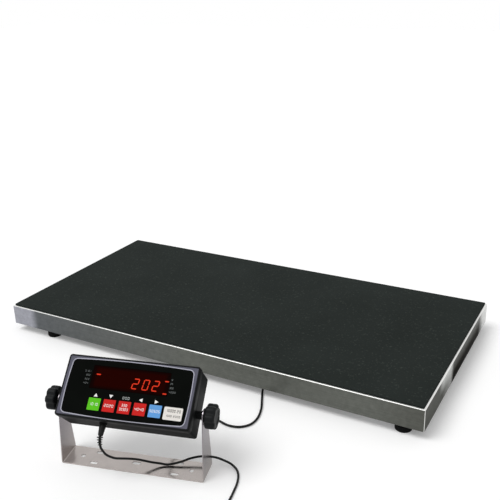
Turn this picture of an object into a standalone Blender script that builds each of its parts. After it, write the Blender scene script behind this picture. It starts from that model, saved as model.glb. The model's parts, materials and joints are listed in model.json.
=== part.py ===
"""Livestock scale, in metres with +Z up and the floor at z = 0.

A low stainless platform with a rubber mat stands on four load cells, each with a levelling
foot. Its indicator stands in front of it: a head with a keypad that tilts in a U bracket.
A load-cell cable joins the two, and a DC lead runs from the head to a wall adaptor.
"""

import math

import bmesh
import bpy
from mathutils import Matrix, Vector

# Clearances and mesh fineness
GAP = 0.0003
RUNNING = 0.0006
ROUND_SIDES = 24
SMALL_ROUND_SIDES = 12
CORNER_STEPS = 3
CORD_SPACING = 3.0

# Platform
PLATFORM_LENGTH = 1.100
PLATFORM_WIDTH = 0.540
PAN_DEPTH = 0.050
GROUND_CLEARANCE = 0.020
PAN_SHEET = 0.0015
PAN_BEND_RADIUS = 0.0025
MAT_THICKNESS = 0.004
MAT_MARGIN = 0.004
MAT_CORNER_RADIUS = 0.003
MAT_EDGE_ROUND = 0.0008

# Deck frame under the pan
RAIL_WIDTH = 0.030
RAIL_HEIGHT = 0.040
RAIL_WALL = 0.002
RAIL_CORNER_RADIUS = 0.004
RAIL_END_INSET = 0.012
CROSS_MEMBER_X = 0.300

# Load cells, one at each corner, all pointing the same way along X
CELL_LENGTH = 0.120
CELL_WIDTH = 0.030
CELL_HEIGHT = 0.026
CELL_MOUNT_THICKNESS = 0.012
CELL_RAIL_CLEARANCE = 0.002
CELL_GAUGE_RADIUS = 0.009
CELL_GAUGE_DEPTH = 0.006
FOOT_TO_CELL_END = 0.015
FOOT_INSET_LEFT = 0.115
FOOT_INSET_RIGHT = 0.049
FOOT_INSET_SIDE = 0.024
CELL_BOLT_RADIUS = 0.004
CELL_BOLT_PITCH = 0.030
CELL_BOLT_EDGE = 0.015
CELL_BOLT_BITE = 0.009
CELL_BOLT_HEAD_RADIUS = 0.0075
CELL_BOLT_HEAD_HEIGHT = 0.0045
PLATE_WASHER_THICKNESS = 0.003
PLATE_WASHER_MARGIN = 0.003

# Levelling feet
FOOT_PAD_RADIUS = 0.018
FOOT_PAD_HEIGHT = 0.014
FOOT_PAD_ROUND = 0.002
FOOT_STUD_RADIUS = 0.006
FOOT_STUD_ENGAGEMENT = 0.022
JAM_NUT_FLATS = 0.019
JAM_NUT_HEIGHT = 0.006

# Junction box under the deck
JUNCTION_X = 0.120
JUNCTION_LENGTH = 0.110
JUNCTION_WIDTH = 0.080
JUNCTION_HEIGHT = 0.036
JUNCTION_WALL = 0.003
JUNCTION_CORNER_RADIUS = 0.006
GLAND_OFFSET_X = 0.025
GLAND_RADIUS = 0.009
GLAND_LENGTH = 0.018

# Where the indicator stands: ahead of the front skirt, turned about the vertical
INDICATOR_AHEAD = 0.316
INDICATOR_RIGHT = 0.084
INDICATOR_YAW = math.radians(14.9)

# Bracket
BRACKET_WIDTH = 0.286
BRACKET_DEPTH = 0.055
BRACKET_SHEET = 0.002
BRACKET_BEND_RADIUS = 0.0035
PIVOT_HEIGHT = 0.127
ARM_TOP_RADIUS = 0.0135
ARM_FOOT_HEIGHT = 0.006
SCREW_HOLE_INSET = 0.032
SCREW_HOLE_RADIUS = 0.0045
SLOT_INSET = 0.061
SLOT_Y = 0.016
SLOT_LENGTH = 0.016
SLOT_WIDTH = 0.007
CENTRE_SLOT_LENGTH = 0.0175
CENTRE_SLOT_WIDTH = 0.008

# Head: its own axes are X to the right, Y into its depth and Z up the face, from the pivot axis
HEAD_TILT = math.radians(47.6)
HEAD_SIDE_ROOM = 0.013
HEAD_HEIGHT = 0.118
HEAD_RISE = 0.020
FACE_REACH = 0.038
BEZEL_DEPTH = 0.018
HOUSING_DEPTH = 0.050
HOUSING_STEP = 0.0012
HOUSING_TAPER = 0.0012
HEAD_CORNER_RADIUS = 0.0055
HEAD_WALL = 0.0025
HEAD_EDGE_ROUND = 0.002
BOSS_RADIUS = 0.0075
WASHER_RADIUS = 0.009
WASHER_THICKNESS = 0.003
STUD_RADIUS = 0.003
STUD_BITE = 0.009

# Keypad panel and what shows on it: LAYOUT_ values hold for a panel as wide as the layout
LAYOUT_PANEL_WIDTH = 0.240
PANEL_SIDE_INSET = 0.010
PANEL_TOP_INSET = 0.006
PANEL_BOTTOM_INSET = 0.0048
PANEL_SIDE_BOW = 0.0022
PANEL_TOP_BOW = 0.0036
PANEL_SIDE_STEP = 0.022
PANEL_THICKNESS = 0.001
PANEL_SINK = 0.0005
PANEL_CORNER_RADIUS = 0.0065
FACE_WALL = 0.0025
LAYOUT_WINDOW_WIDTH = 0.152
WINDOW_HEIGHT = 0.0434
LAYOUT_WINDOW_X = 0.001
WINDOW_RISE = 0.0197
WINDOW_THICKNESS = 0.0009
WINDOW_LEDGE = 0.003
KEY_COUNT = 5
LAYOUT_KEY_WIDTH = 0.0248
KEY_HEIGHT = 0.0248
LAYOUT_KEY_PITCH = 0.0296
KEY_DROP = 0.0312
LAYOUT_KEY_ROW_X = 0.0013
KEY_PROUD = 0.0006
KEY_CAP_THICKNESS = 0.0008
KEY_STEM_MARGIN = 0.003
KEY_TRAVEL = 0.0004
LAYOUT_LABEL_WIDTH = 0.0374
LABEL_HEIGHT = 0.0252
LAYOUT_LABEL_X = 0.0958
LABEL_THICKNESS = 0.0003
LABEL_CORNER_RADIUS = 0.003

# Boards inside the head
BOARD_THICKNESS = 0.0016
DIGIT_MODULE_DEPTH = 0.008
SWITCH_WIDTH = 0.012
MAIN_BOARD_Y = 0.004
MAIN_BOARD_PARTS_DEPTH = 0.009
TRANSFORMER_SIZE = (0.042, 0.036)
TRANSFORMER_PLACE = (-0.075, 0.018)
TERMINALS_SIZE = (0.048, 0.012)
TERMINALS_DROP = 0.010
CAPACITOR_RADIUS = 0.0055
CAPACITORS_X = (-0.012, 0.004, 0.020)
CAPACITORS_RISE = 0.028

# Clamp knobs
KNOB_RADIUS = 0.0235
KNOB_DEPTH = 0.020
KNOB_LOBES = 7
KNOB_POINTS_PER_LOBE = 5
KNOB_FLUTE = 0.10
KNOB_HUB_RADIUS = 0.011
KNOB_HUB_LENGTH = 0.003

# DC plug and socket in the head's underside
PLUG_X = -0.0418
PLUG_Y = -0.011
SOCKET_RADIUS = 0.0055
SOCKET_FLANGE_RADIUS = 0.0075
SOCKET_FLANGE = 0.0015
SOCKET_LENGTH = 0.011
BARREL_RADIUS = 0.0027
BARREL_LENGTH = 0.009
PLUG_ROOT_RADIUS = 0.0062
PLUG_TIP_RADIUS = 0.0047
PLUG_LENGTH = 0.0205
RELIEF_RIBS = 4
RELIEF_PITCH = 0.0043
RELIEF_RIB_RADIUS = 0.0052
RELIEF_RIB_FALL = 0.0004
RELIEF_CORE_RADIUS = 0.0025
RELIEF_BEND_RADIUS = 0.029
RELIEF_BEND_WAY = math.radians(58)

# Cable gland in the head's rear wall
REAR_GLAND_X = 0.045
REAR_GLAND_Z = -0.012

# Cords
DC_LEAD_DIAMETER = 0.0044
LOAD_CABLE_DIAMETER = 0.005
CELL_LEAD_DIAMETER = 0.004
COIL_PITCH = 1.28
COIL_DIAMETERS = 11.0
COIL_POINTS_PER_LOOP = 24
DC_COIL_TURNS = 6.25
LOAD_COIL_TURNS = 7.0
DC_COIL_CENTRE = (0.235, -0.130)
LOAD_COIL_CENTRE = (0.122, -0.167)

# Wall adaptor at the far end of the DC lead
ADAPTOR_LENGTH = 0.074
ADAPTOR_WIDTH = 0.050
ADAPTOR_HEIGHT = 0.030
ADAPTOR_CORNER_RADIUS = 0.006
ADAPTOR_EDGE_ROUND = 0.003
ADAPTOR_RELIEF_LENGTH = 0.022
ADAPTOR_RELIEF_ROOT_RADIUS = 0.0055
ADAPTOR_TIP_X = 0.304
BLADE_LENGTH = 0.017
BLADE_WIDTH = 0.0065
BLADE_THICKNESS = 0.0015
BLADE_PITCH = 0.0127

# Places that follow from the sizes above
HEAD_WIDTH = BRACKET_WIDTH - 2 * HEAD_SIDE_ROOM
SCREW_HOLE_X = BRACKET_WIDTH / 2 - SCREW_HOLE_INSET
SLOT_X = BRACKET_WIDTH / 2 - SLOT_INSET
PAN_TOP = GROUND_CLEARANCE + PAN_DEPTH
DECK_UNDERSIDE = PAN_TOP - PAN_SHEET
FRAME_TOP = DECK_UNDERSIDE - GAP
CELL_TOP = FRAME_TOP - CELL_MOUNT_THICKNESS - GAP
CELL_BOTTOM = CELL_TOP - CELL_HEIGHT
FOOT_Y = PLATFORM_WIDTH / 2 - FOOT_INSET_SIDE
RAIL_Y = FOOT_Y - CELL_WIDTH / 2 - CELL_RAIL_CLEARANCE - RAIL_WIDTH / 2
HEAD_BOTTOM = HEAD_RISE - HEAD_HEIGHT / 2
FACE_Y = -FACE_REACH
BEZEL_BACK = FACE_Y + BEZEL_DEPTH
HOUSING_FRONT = BEZEL_BACK + GAP
HOUSING_BACK = HOUSING_FRONT + HOUSING_DEPTH
PANEL_FRONT = FACE_Y + PANEL_SINK
RECESS_FLOOR = PANEL_FRONT + PANEL_THICKNESS + GAP
FACE_WALL_BACK = RECESS_FLOOR + FACE_WALL
PANEL_WIDTH = HEAD_WIDTH - 2 * PANEL_SIDE_INSET
FACE_SCALE = PANEL_WIDTH / LAYOUT_PANEL_WIDTH
WINDOW_WIDTH = LAYOUT_WINDOW_WIDTH * FACE_SCALE
WINDOW_X = LAYOUT_WINDOW_X * FACE_SCALE
KEY_WIDTH = LAYOUT_KEY_WIDTH * FACE_SCALE
KEY_PITCH = LAYOUT_KEY_PITCH * FACE_SCALE
KEY_ROW_X = LAYOUT_KEY_ROW_X * FACE_SCALE
LABEL_WIDTH = LAYOUT_LABEL_WIDTH * FACE_SCALE
LABEL_X = LAYOUT_LABEL_X * FACE_SCALE
PANEL_HEIGHT = HEAD_HEIGHT - PANEL_TOP_INSET - PANEL_BOTTOM_INSET
PANEL_Z = HEAD_RISE + (PANEL_BOTTOM_INSET - PANEL_TOP_INSET) / 2
WINDOW_Z = HEAD_RISE + WINDOW_RISE
KEY_Z = HEAD_RISE - KEY_DROP
ARM_INNER_X = BRACKET_WIDTH / 2 - BRACKET_SHEET
BOSS_FACE_X = ARM_INNER_X - WASHER_THICKNESS - 2 * GAP
SOCKET_FACE_Z = HEAD_BOTTOM - SOCKET_FLANGE - GAP

COLOURS = {
    "rubber": ("26292A", 0.75, 0.0),
    "stainless": ("A9A9A6", 0.28, 1.0),
    "mild_steel": ("7E8184", 0.45, 1.0),
    "zinc": ("B4B6B8", 0.35, 1.0),
    "cell_aluminium": ("B9BBBD", 0.4, 1.0),
    "black_plastic": ("1B1D1E", 0.5, 0.0),
    "bezel_plastic": ("6C6D7B", 0.45, 0.0),
    "panel_film": ("121412", 0.3, 0.0),
    "red_filter": ("220602", 0.12, 0.0),
    "circuit_board": ("2C6B3A", 0.5, 0.0),
    "key_green": ("5EC51C", 0.4, 0.0),
    "key_red": ("C8201C", 0.4, 0.0),
    "key_blue": ("5F9CD8", 0.4, 0.0),
    "label_white": ("E0DDD8", 0.5, 0.0),
    "cord_black": ("141516", 0.45, 0.0),
}
KEY_COLOURS = ["key_green", "key_red", "key_red", "key_red", "key_blue"]


def linear(channel):
    """One sRGB channel, 0 to 1, as linear light."""
    if channel <= 0.04045:
        return channel / 12.92
    return ((channel + 0.055) / 1.055) ** 2.4


def material(name):
    """The named material of COLOURS, made once."""
    made = bpy.data.materials.get(name)
    if made:
        return made
    code, roughness, metallic = COLOURS[name]
    made = bpy.data.materials.new(name)
    made.use_nodes = True
    shader = made.node_tree.nodes["Principled BSDF"]
    rgb = [linear(int(code[i : i + 2], 16) / 255) for i in (0, 2, 4)]
    shader.inputs["Base Color"].default_value = (*rgb, 1.0)
    shader.inputs["Roughness"].default_value = roughness
    shader.inputs["Metallic"].default_value = metallic
    return made


def empty(name, parent=None, location=(0, 0, 0), rotation=(0, 0, 0)):
    """A frame that pieces hang from."""
    frame = bpy.data.objects.new(name, None)
    bpy.context.scene.collection.objects.link(frame)
    frame.parent = parent
    frame.location = location
    frame.rotation_euler = rotation
    return frame


def solid(name, bm, parent, look=None, origin=(0, 0, 0)):
    """An object from a bmesh in its parent's frame, with its origin at the given point."""
    bmesh.ops.recalc_face_normals(bm, faces=bm.faces)
    bmesh.ops.translate(bm, verts=bm.verts, vec=-Vector(origin))
    mesh = bpy.data.meshes.new(name)
    bm.to_mesh(mesh)
    bm.free()
    mesh.shade_smooth()
    mesh.set_sharp_from_angle(angle=math.radians(35))
    piece = bpy.data.objects.new(name, mesh)
    bpy.context.scene.collection.objects.link(piece)
    piece.parent = parent
    piece.location = origin
    if look:
        mesh.materials.append(material(look))
    return piece


def helper(name, bm, parent):
    """A tool body for a Boolean: left out of the build."""
    piece = solid(name, bm, parent)
    piece.hide_render = True
    piece.display_type = "WIRE"
    return piece


def combine(piece, tool, operation):
    """Cut, join or intersect a piece with a tool body."""
    step = piece.modifiers.new(operation.lower(), "BOOLEAN")
    step.operation = operation
    step.solver = "EXACT"
    step.object = tool


def loft(bm, loops, cyclic=False):
    """Quads between equal loops, closed by end faces or, if cyclic, back to the first loop."""
    rings = [[bm.verts.new(point) for point in loop] for loop in loops]
    count = len(rings[0])
    pairs = list(zip(rings, rings[1:]))
    if cyclic:
        pairs.append((rings[-1], rings[0]))
    for near, far in pairs:
        for i in range(count):
            j = (i + 1) % count
            bm.faces.new((near[i], near[j], far[j], far[i]))
    if not cyclic:
        bm.faces.new(rings[0])
        bm.faces.new(rings[-1])
    return bm


def lay(outline, axis, offset, centre=(0, 0)):
    """A flat outline laid square to an axis, at an offset along it."""
    shifted = [(a + centre[0], b + centre[1]) for a, b in outline]
    if axis == "X":
        return [Vector((offset, a, b)) for a, b in shifted]
    if axis == "Y":
        return [Vector((a, offset, b)) for a, b in shifted]
    return [Vector((a, b, offset)) for a, b in shifted]


def rounded_rectangle(width, height, radius, steps=CORNER_STEPS):
    """Outline points of a rectangle with arcs at its corners, centred on zero."""
    points = []
    for corner, (sx, sy) in enumerate([(1, 1), (-1, 1), (-1, -1), (1, -1)]):
        cx = sx * (width / 2 - radius)
        cy = sy * (height / 2 - radius)
        for step in range(steps + 1):
            turn = (corner + step / steps) * math.pi / 2
            points.append((cx + radius * math.cos(turn), cy + radius * math.sin(turn)))
    return points


def circle(radius, sides=ROUND_SIDES):
    """Outline points of a circle."""
    turns = [2 * math.pi * i / sides for i in range(sides)]
    return [(radius * math.cos(t), radius * math.sin(t)) for t in turns]


def slot(length, width, steps=6):
    """Outline points of a slot with round ends, along the first axis."""
    points = []
    for side, start in ((1, -math.pi / 2), (-1, math.pi / 2)):
        end_x = side * (length - width) / 2
        for step in range(steps + 1):
            turn = start + math.pi * step / steps
            points.append((end_x + width / 2 * math.cos(turn), width / 2 * math.sin(turn)))
    return points


def hexagon(flats, per_side=4):
    """Outline points of a hexagon, with extra points on its sides so that it can meet a circle."""
    corners = [Vector(point) for point in circle(flats / math.sqrt(3), 6)]
    points = []
    for i, start in enumerate(corners):
        end = corners[(i + 1) % 6]
        points += [tuple(start.lerp(end, k / per_side)) for k in range(per_side)]
    return points


def prism(bm, outline, axis, low, high, centre=(0, 0)):
    """A straight body on an outline."""
    return loft(bm, [lay(outline, axis, low, centre), lay(outline, axis, high, centre)])


def box(bm, low, high):
    """A block between two corners."""
    width, depth = high[0] - low[0], high[1] - low[1]
    outline = rounded_rectangle(width, depth, 0, 1)[::2]
    centre = ((low[0] + high[0]) / 2, (low[1] + high[1]) / 2)
    return prism(bm, outline, "Z", low[2], high[2], centre)


def turned(bm, profile, axis="Z", centre=(0, 0), sides=ROUND_SIDES):
    """A body turned about an axis from (radius, offset) points, closed at both ends."""
    return loft(bm, [lay(circle(radius, sides), axis, offset, centre) for radius, offset in profile])


def hollow_bar(name, parent, axis, low, high, centre):
    """A box section with open ends."""
    size = (RAIL_WIDTH, RAIL_HEIGHT)
    outer = rounded_rectangle(*size, RAIL_CORNER_RADIUS, 2)
    inner = rounded_rectangle(*(s - 2 * RAIL_WALL for s in size), RAIL_CORNER_RADIUS - RAIL_WALL, 2)
    loops = [
        lay(outer, axis, low, centre),
        lay(outer, axis, high, centre),
        lay(inner, axis, high, centre),
        lay(inner, axis, low, centre),
    ]
    return solid(name, loft(bmesh.new(), loops, cyclic=True), parent, "mild_steel")


def smooth_route(points, spacing):
    """Evenly spaced points on a smooth curve through the route's own points."""
    points = [Vector(p) for p in points]
    tangents = []
    for i, point in enumerate(points):
        before = points[max(i - 1, 0)]
        after = points[min(i + 1, len(points) - 1)]
        tangents.append((after - before).normalized())
    fine = []
    for a, b, ta, tb in zip(points, points[1:], tangents, tangents[1:]):
        reach = (b - a).length
        for k in range(40):
            t = k / 40
            h = (2 * t**3 - 3 * t**2 + 1, t**3 - 2 * t**2 + t, -2 * t**3 + 3 * t**2, t**3 - t**2)
            fine.append(a * h[0] + ta * (reach * h[1]) + b * h[2] + tb * (reach * h[3]))
    fine.append(points[-1])
    length = sum((b - a).length for a, b in zip(fine, fine[1:]))
    count = max(2, round(length / spacing))
    even, done, target = [fine[0]], 0.0, length / count
    for a, b in zip(fine, fine[1:]):
        step = (b - a).length
        while step > 0 and done + step >= target - 1e-9 and len(even) < count:
            even.append(a.lerp(b, (target - done) / step))
            target += length / count
        done += step
    even.append(fine[-1])
    return even


def path_length(points):
    return sum((b - a).length for a, b in zip(points, points[1:]))


def cord(name, points, diameter, parent, look="cord_black", bevel_resolution=2):
    """A round cord along points, with filled ends."""
    data = bpy.data.curves.new(name, "CURVE")
    data.dimensions = "3D"
    data.bevel_depth = diameter / 2
    data.bevel_resolution = bevel_resolution
    data.render_resolution_u = 0
    data.use_fill_caps = True
    data.materials.append(material(look))
    spline = data.splines.new("POLY")
    spline.points.add(len(points) - 1)
    for spot, point in zip(spline.points, points):
        spot.co = (*point, 1.0)
    piece = bpy.data.objects.new(name, data)
    bpy.context.scene.collection.objects.link(piece)
    piece.parent = parent
    print(f"{name}: {path_length(points):.4f} m in {len(points)} points")
    return piece


def free_stretch(name, start, start_way, route, end, end_way, diameter, parent):
    """A cord from one face to another, running straight for one diameter at each end."""
    start, end = Vector(start), Vector(end)
    start_way, end_way = Vector(start_way).normalized(), Vector(end_way).normalized()
    first, last = start + start_way * GAP, end - end_way * GAP
    inner_start, inner_end = first + start_way * diameter, last - end_way * diameter
    middle = smooth_route([inner_start, *route, inner_end], CORD_SPACING * diameter)
    points = [first, *middle, last]
    return cord(name, points, diameter, parent)


def coil_radius(diameter, turns):
    """The radius of a coil's outermost turn."""
    return diameter * (COIL_DIAMETERS / 2 + COIL_PITCH * (turns - 0.5) / 4)


def coil_path(centre, diameter, turns, start_angle):
    """A coil in two layers, anticlockwise: it spirals in, climbs in half a turn and spirals out.

    Both ends run straight for one diameter. Returns its points and its ends' ways.
    """
    pitch = COIL_PITCH * diameter
    layer_turns = (turns - 0.5) / 2
    outer = coil_radius(diameter, turns)
    inner = outer - pitch * layer_turns
    low, high = diameter / 2 + GAP, diameter / 2 + GAP + pitch
    steps = round(turns * COIL_POINTS_PER_LOOP)
    points = []
    for i in range(steps + 1):
        turn = turns * i / steps
        climb = min(max((turn - layer_turns) / 0.5, 0.0), 1.0)
        if turn < layer_turns:
            radius = outer - pitch * turn
        else:
            radius = inner + pitch * max(turn - layer_turns - 0.5, 0.0)
        angle = start_angle + 2 * math.pi * turn
        x = centre[0] + radius * math.cos(angle)
        y = centre[1] + radius * math.sin(angle)
        points.append(Vector((x, y, low + (high - low) * (3 * climb**2 - 2 * climb**3))))
    start_way = Vector((-math.sin(start_angle), math.cos(start_angle), 0))
    end_angle = start_angle + 2 * math.pi * turns
    end_way = Vector((-math.sin(end_angle), math.cos(end_angle), 0))
    return [points[0] - start_way * diameter, *points, points[-1] + end_way * diameter], start_way, end_way


def least_self_gap(points, diameter):
    """The smallest gap between two windings, measured on the points and the spans between them."""
    apart = int(3 * diameter / (path_length(points) / len(points))) + 3
    least = math.inf
    for i in range(len(points) - 1):
        for j in range(i + apart, len(points) - 1):
            if (points[i] - points[j]).length > 4 * diameter:
                continue
            for a in (points[i], points[i].lerp(points[i + 1], 0.5)):
                for b in (points[j], points[j].lerp(points[j + 1], 0.5)):
                    least = min(least, (a - b).length)
    return least - diameter


def coil(name, centre, diameter, turns, start_angle, parent):
    """A wound coil lying on the floor, with its ends' points and ways."""
    points, start_way, end_way = coil_path(centre, diameter, turns, start_angle)
    cord(name, points, diameter, parent, bevel_resolution=1)
    print(f"{name}: least gap to itself {least_self_gap(points, diameter) * 1000:.2f} mm")
    return points[0], start_way, points[-1], end_way


def swept(bm, spine, rings, sides):
    """A round body along a spine: spine(s) gives a point and a way, rings gives (s, radius)."""
    loops = []
    for s, radius in rings:
        point, way = spine(s)
        side = (Vector((1, 0, 0)) - way * way.x).normalized()
        up = way.cross(side)
        loops.append([point + side * a + up * b for a, b in circle(radius, sides)])
    return loft(bm, loops)


def cup(bm, axis, outline, wall, rim, floor_inside, back, edge_round, centre=(0, 0)):
    """A shell open at its rim: outline(offset) gives the outer loop drawn in by an offset.

    rim, floor_inside and back are offsets along the axis, in the order that they follow.
    """
    way = 1 if back > rim else -1
    loops = [
        lay(outline(wall), axis, floor_inside, centre),
        lay(outline(wall), axis, rim, centre),
        lay(outline(0), axis, rim, centre),
        lay(outline(0), axis, back - way * edge_round, centre),
        lay(outline(edge_round * 0.3), axis, back - way * edge_round * 0.3, centre),
        lay(outline(edge_round), axis, back, centre),
    ]
    return loft(bm, loops)


def build_deck(root):
    """Mat, pan and the frame of box sections welded under it."""
    mat_bottom = PAN_TOP + GAP
    mat_top = PAN_TOP + MAT_THICKNESS
    mat_size = (PLATFORM_LENGTH - 2 * MAT_MARGIN, PLATFORM_WIDTH - 2 * MAT_MARGIN)
    full = rounded_rectangle(*mat_size, MAT_CORNER_RADIUS)
    drawn_in = rounded_rectangle(
        *(s - 2 * MAT_EDGE_ROUND for s in mat_size), MAT_CORNER_RADIUS - MAT_EDGE_ROUND
    )
    loops = [
        lay(full, "Z", mat_bottom),
        lay(full, "Z", mat_top - MAT_EDGE_ROUND),
        lay(drawn_in, "Z", mat_top),
    ]
    solid("rubber_mat", loft(bmesh.new(), loops), root, "rubber")

    def pan_outline(inset):
        radius = max(PAN_BEND_RADIUS - inset, 0.0005)
        return rounded_rectangle(PLATFORM_LENGTH - 2 * inset, PLATFORM_WIDTH - 2 * inset, radius)

    edge = PAN_BEND_RADIUS * 0.8
    pan = cup(bmesh.new(), "Z", pan_outline, PAN_SHEET, GROUND_CLEARANCE, DECK_UNDERSIDE, PAN_TOP, edge)
    solid("deck_pan", pan, root, "stainless")

    rail_z = FRAME_TOP - RAIL_HEIGHT / 2
    rail_reach = PLATFORM_LENGTH / 2 - RAIL_END_INSET
    for side, y in (("front", -RAIL_Y), ("back", RAIL_Y)):
        hollow_bar(f"rail_{side}", root, "X", -rail_reach, rail_reach, (y, rail_z))
    cross_reach = RAIL_Y - RAIL_WIDTH / 2 - GAP
    for side, x in (("left", -CROSS_MEMBER_X), ("right", CROSS_MEMBER_X)):
        hollow_bar(f"cross_member_{side}", root, "Y", -cross_reach, cross_reach, (x, rail_z))


def build_corner(root, side_x, side_y):
    """One load cell with its mounting block, bolts, jam nut, levelling foot and lead."""
    inset = FOOT_INSET_LEFT if side_x < 0 else FOOT_INSET_RIGHT
    x = side_x * (PLATFORM_LENGTH / 2 - inset)
    y = side_y * FOOT_Y
    name = f"{'front' if side_y < 0 else 'back'}_{'left' if side_x < 0 else 'right'}"
    free_end = x + FOOT_TO_CELL_END
    fixed_end = free_end - CELL_LENGTH
    bolts_x = [fixed_end + CELL_BOLT_EDGE, fixed_end + CELL_BOLT_EDGE + CELL_BOLT_PITCH]
    seat_length = 2 * CELL_BOLT_EDGE + CELL_BOLT_PITCH
    bore = FOOT_STUD_RADIUS + GAP
    bolt_hole = circle(CELL_BOLT_RADIUS + GAP, SMALL_ROUND_SIDES)
    gauge_pocket = circle(CELL_GAUGE_RADIUS, SMALL_ROUND_SIDES)

    cell_low = (fixed_end, y - CELL_WIDTH / 2, CELL_BOTTOM)
    cell_high = (free_end, y + CELL_WIDTH / 2, CELL_TOP)
    cell = solid(f"load_cell_{name}", box(bmesh.new(), cell_low, cell_high), root, "cell_aluminium")
    holes = bmesh.new()
    prism(holes, circle(bore), "Z", CELL_BOTTOM - RUNNING, CELL_TOP + RUNNING, (x, y))
    for bolt_x in bolts_x:
        prism(holes, bolt_hole, "Z", CELL_BOTTOM - RUNNING, CELL_TOP + RUNNING, (bolt_x, y))
    gauge_x = (bolts_x[1] + x) / 2
    cell_middle = (CELL_TOP + CELL_BOTTOM) / 2
    for side in (-1, 1):
        outside = y + side * (CELL_WIDTH / 2 + RUNNING)
        inside = y + side * (CELL_WIDTH / 2 - CELL_GAUGE_DEPTH)
        prism(holes, gauge_pocket, "Y", outside, inside, (gauge_x, cell_middle))
    combine(cell, helper(f"cut_cell_{name}", holes, root), "DIFFERENCE")

    rail_face = side_y * (RAIL_Y + RAIL_WIDTH / 2 + GAP)
    cell_face = y + side_y * CELL_WIDTH / 2
    mount_low = CELL_TOP + GAP
    mount = solid(
        f"cell_mount_{name}",
        box(
            bmesh.new(),
            (fixed_end, min(rail_face, cell_face), mount_low),
            (fixed_end + seat_length, max(rail_face, cell_face), FRAME_TOP),
        ),
        root,
        "mild_steel",
    )
    threads = bmesh.new()
    for bolt_x in bolts_x:
        top = mount_low + CELL_BOLT_BITE + GAP
        prism(threads, bolt_hole, "Z", mount_low - RUNNING, top, (bolt_x, y))
    combine(mount, helper(f"cut_mount_{name}", threads, root), "DIFFERENCE")

    washer_top = CELL_BOTTOM - GAP
    washer_bottom = washer_top - PLATE_WASHER_THICKNESS
    half_width = CELL_WIDTH / 2 - PLATE_WASHER_MARGIN
    bolts = solid(
        f"cell_bolts_{name}",
        box(
            bmesh.new(),
            (fixed_end + PLATE_WASHER_MARGIN, y - half_width, washer_bottom),
            (fixed_end + seat_length - PLATE_WASHER_MARGIN, y + half_width, washer_top),
        ),
        root,
        "zinc",
    )
    shanks = bmesh.new()
    for bolt_x in bolts_x:
        head_bottom = washer_bottom - CELL_BOLT_HEAD_HEIGHT
        profile = [
            (CELL_BOLT_HEAD_RADIUS, head_bottom),
            (CELL_BOLT_HEAD_RADIUS, washer_bottom + GAP),
            (CELL_BOLT_RADIUS, washer_bottom + GAP),
            (CELL_BOLT_RADIUS, mount_low + CELL_BOLT_BITE),
        ]
        turned(shanks, profile, centre=(bolt_x, y), sides=SMALL_ROUND_SIDES)
    combine(bolts, helper(f"join_bolts_{name}", shanks, root), "UNION")

    nut_top = CELL_BOTTOM - GAP
    nut_bottom = nut_top - JAM_NUT_HEIGHT
    nut_outer = hexagon(JAM_NUT_FLATS)
    nut_bore = circle(bore, len(nut_outer))
    loops = [
        lay(nut_outer, "Z", nut_bottom, (x, y)),
        lay(nut_outer, "Z", nut_top, (x, y)),
        lay(nut_bore, "Z", nut_top, (x, y)),
        lay(nut_bore, "Z", nut_bottom, (x, y)),
    ]
    solid(f"jam_nut_{name}", loft(bmesh.new(), loops, cyclic=True), root, "zinc")

    stud_top = CELL_BOTTOM + FOOT_STUD_ENGAGEMENT
    profile = [
        (FOOT_PAD_RADIUS - FOOT_PAD_ROUND, 0),
        (FOOT_PAD_RADIUS, FOOT_PAD_ROUND),
        (FOOT_PAD_RADIUS, FOOT_PAD_HEIGHT - FOOT_PAD_ROUND),
        (FOOT_PAD_RADIUS - FOOT_PAD_ROUND, FOOT_PAD_HEIGHT),
        (FOOT_STUD_RADIUS, FOOT_PAD_HEIGHT),
        (FOOT_STUD_RADIUS, stud_top),
    ]
    foot = turned(bmesh.new(), profile, centre=(x, y))
    solid(f"levelling_foot_{name}", foot, root, "rubber", origin=(x, y, 0))

    build_cell_lead(root, name, side_x, side_y, free_end if side_x < 0 else fixed_end)


def build_cell_lead(root, name, side_x, side_y, end_face):
    """A cell's lead: along the outside of the rail, under it and up to the junction box."""
    y = side_y * FOOT_Y
    cell_middle = (CELL_TOP + CELL_BOTTOM) / 2
    under_rail = FRAME_TOP - RAIL_HEIGHT - CELL_LEAD_DIAMETER / 2 - 2 * GAP
    box_middle = FRAME_TOP - JUNCTION_HEIGHT / 2
    box_side = side_x * (JUNCTION_LENGTH / 2) + JUNCTION_X
    entry_y = side_y * 0.19 * JUNCTION_WIDTH
    inner_y = side_y * (RAIL_Y - RAIL_WIDTH / 2)
    across, thick = CROSS_MEMBER_X, CELL_LEAD_DIAMETER
    route = [
        (side_x * 0.95 * across, y, cell_middle),
        (side_x * 0.86 * across, y - side_y * 1.25 * thick, cell_middle - 2.5 * thick),
        (side_x * 0.80 * across, side_y * (RAIL_Y + RAIL_WIDTH / 2), under_rail),
        (side_x * 0.767 * across, side_y * RAIL_Y, under_rail),
        (side_x * 0.74 * across, inner_y - side_y * thick, under_rail),
        (side_x * 0.707 * across, inner_y - side_y * 10 * thick, cell_middle - 1.5 * thick),
    ]
    if side_x < 0:
        route += [
            (-0.40 * across, side_y * 0.40 * RAIL_Y, cell_middle),
            (-0.10 * across, side_y * 0.16 * RAIL_Y, box_middle),
            (0.10 * across, side_y * 0.084 * RAIL_Y, box_middle),
        ]
    else:
        route += [
            (0.74 * across, side_y * 0.467 * RAIL_Y, cell_middle),
            (0.72 * across, side_y * 0.243 * RAIL_Y, box_middle),
            (0.667 * across, side_y * 0.103 * RAIL_Y, box_middle),
        ]
    inward = (-side_x, 0, 0)
    free_stretch(
        f"cell_lead_{name}",
        (end_face, y, cell_middle),
        inward,
        route,
        (box_side, entry_y, box_middle),
        inward,
        CELL_LEAD_DIAMETER,
        root,
    )


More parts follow.
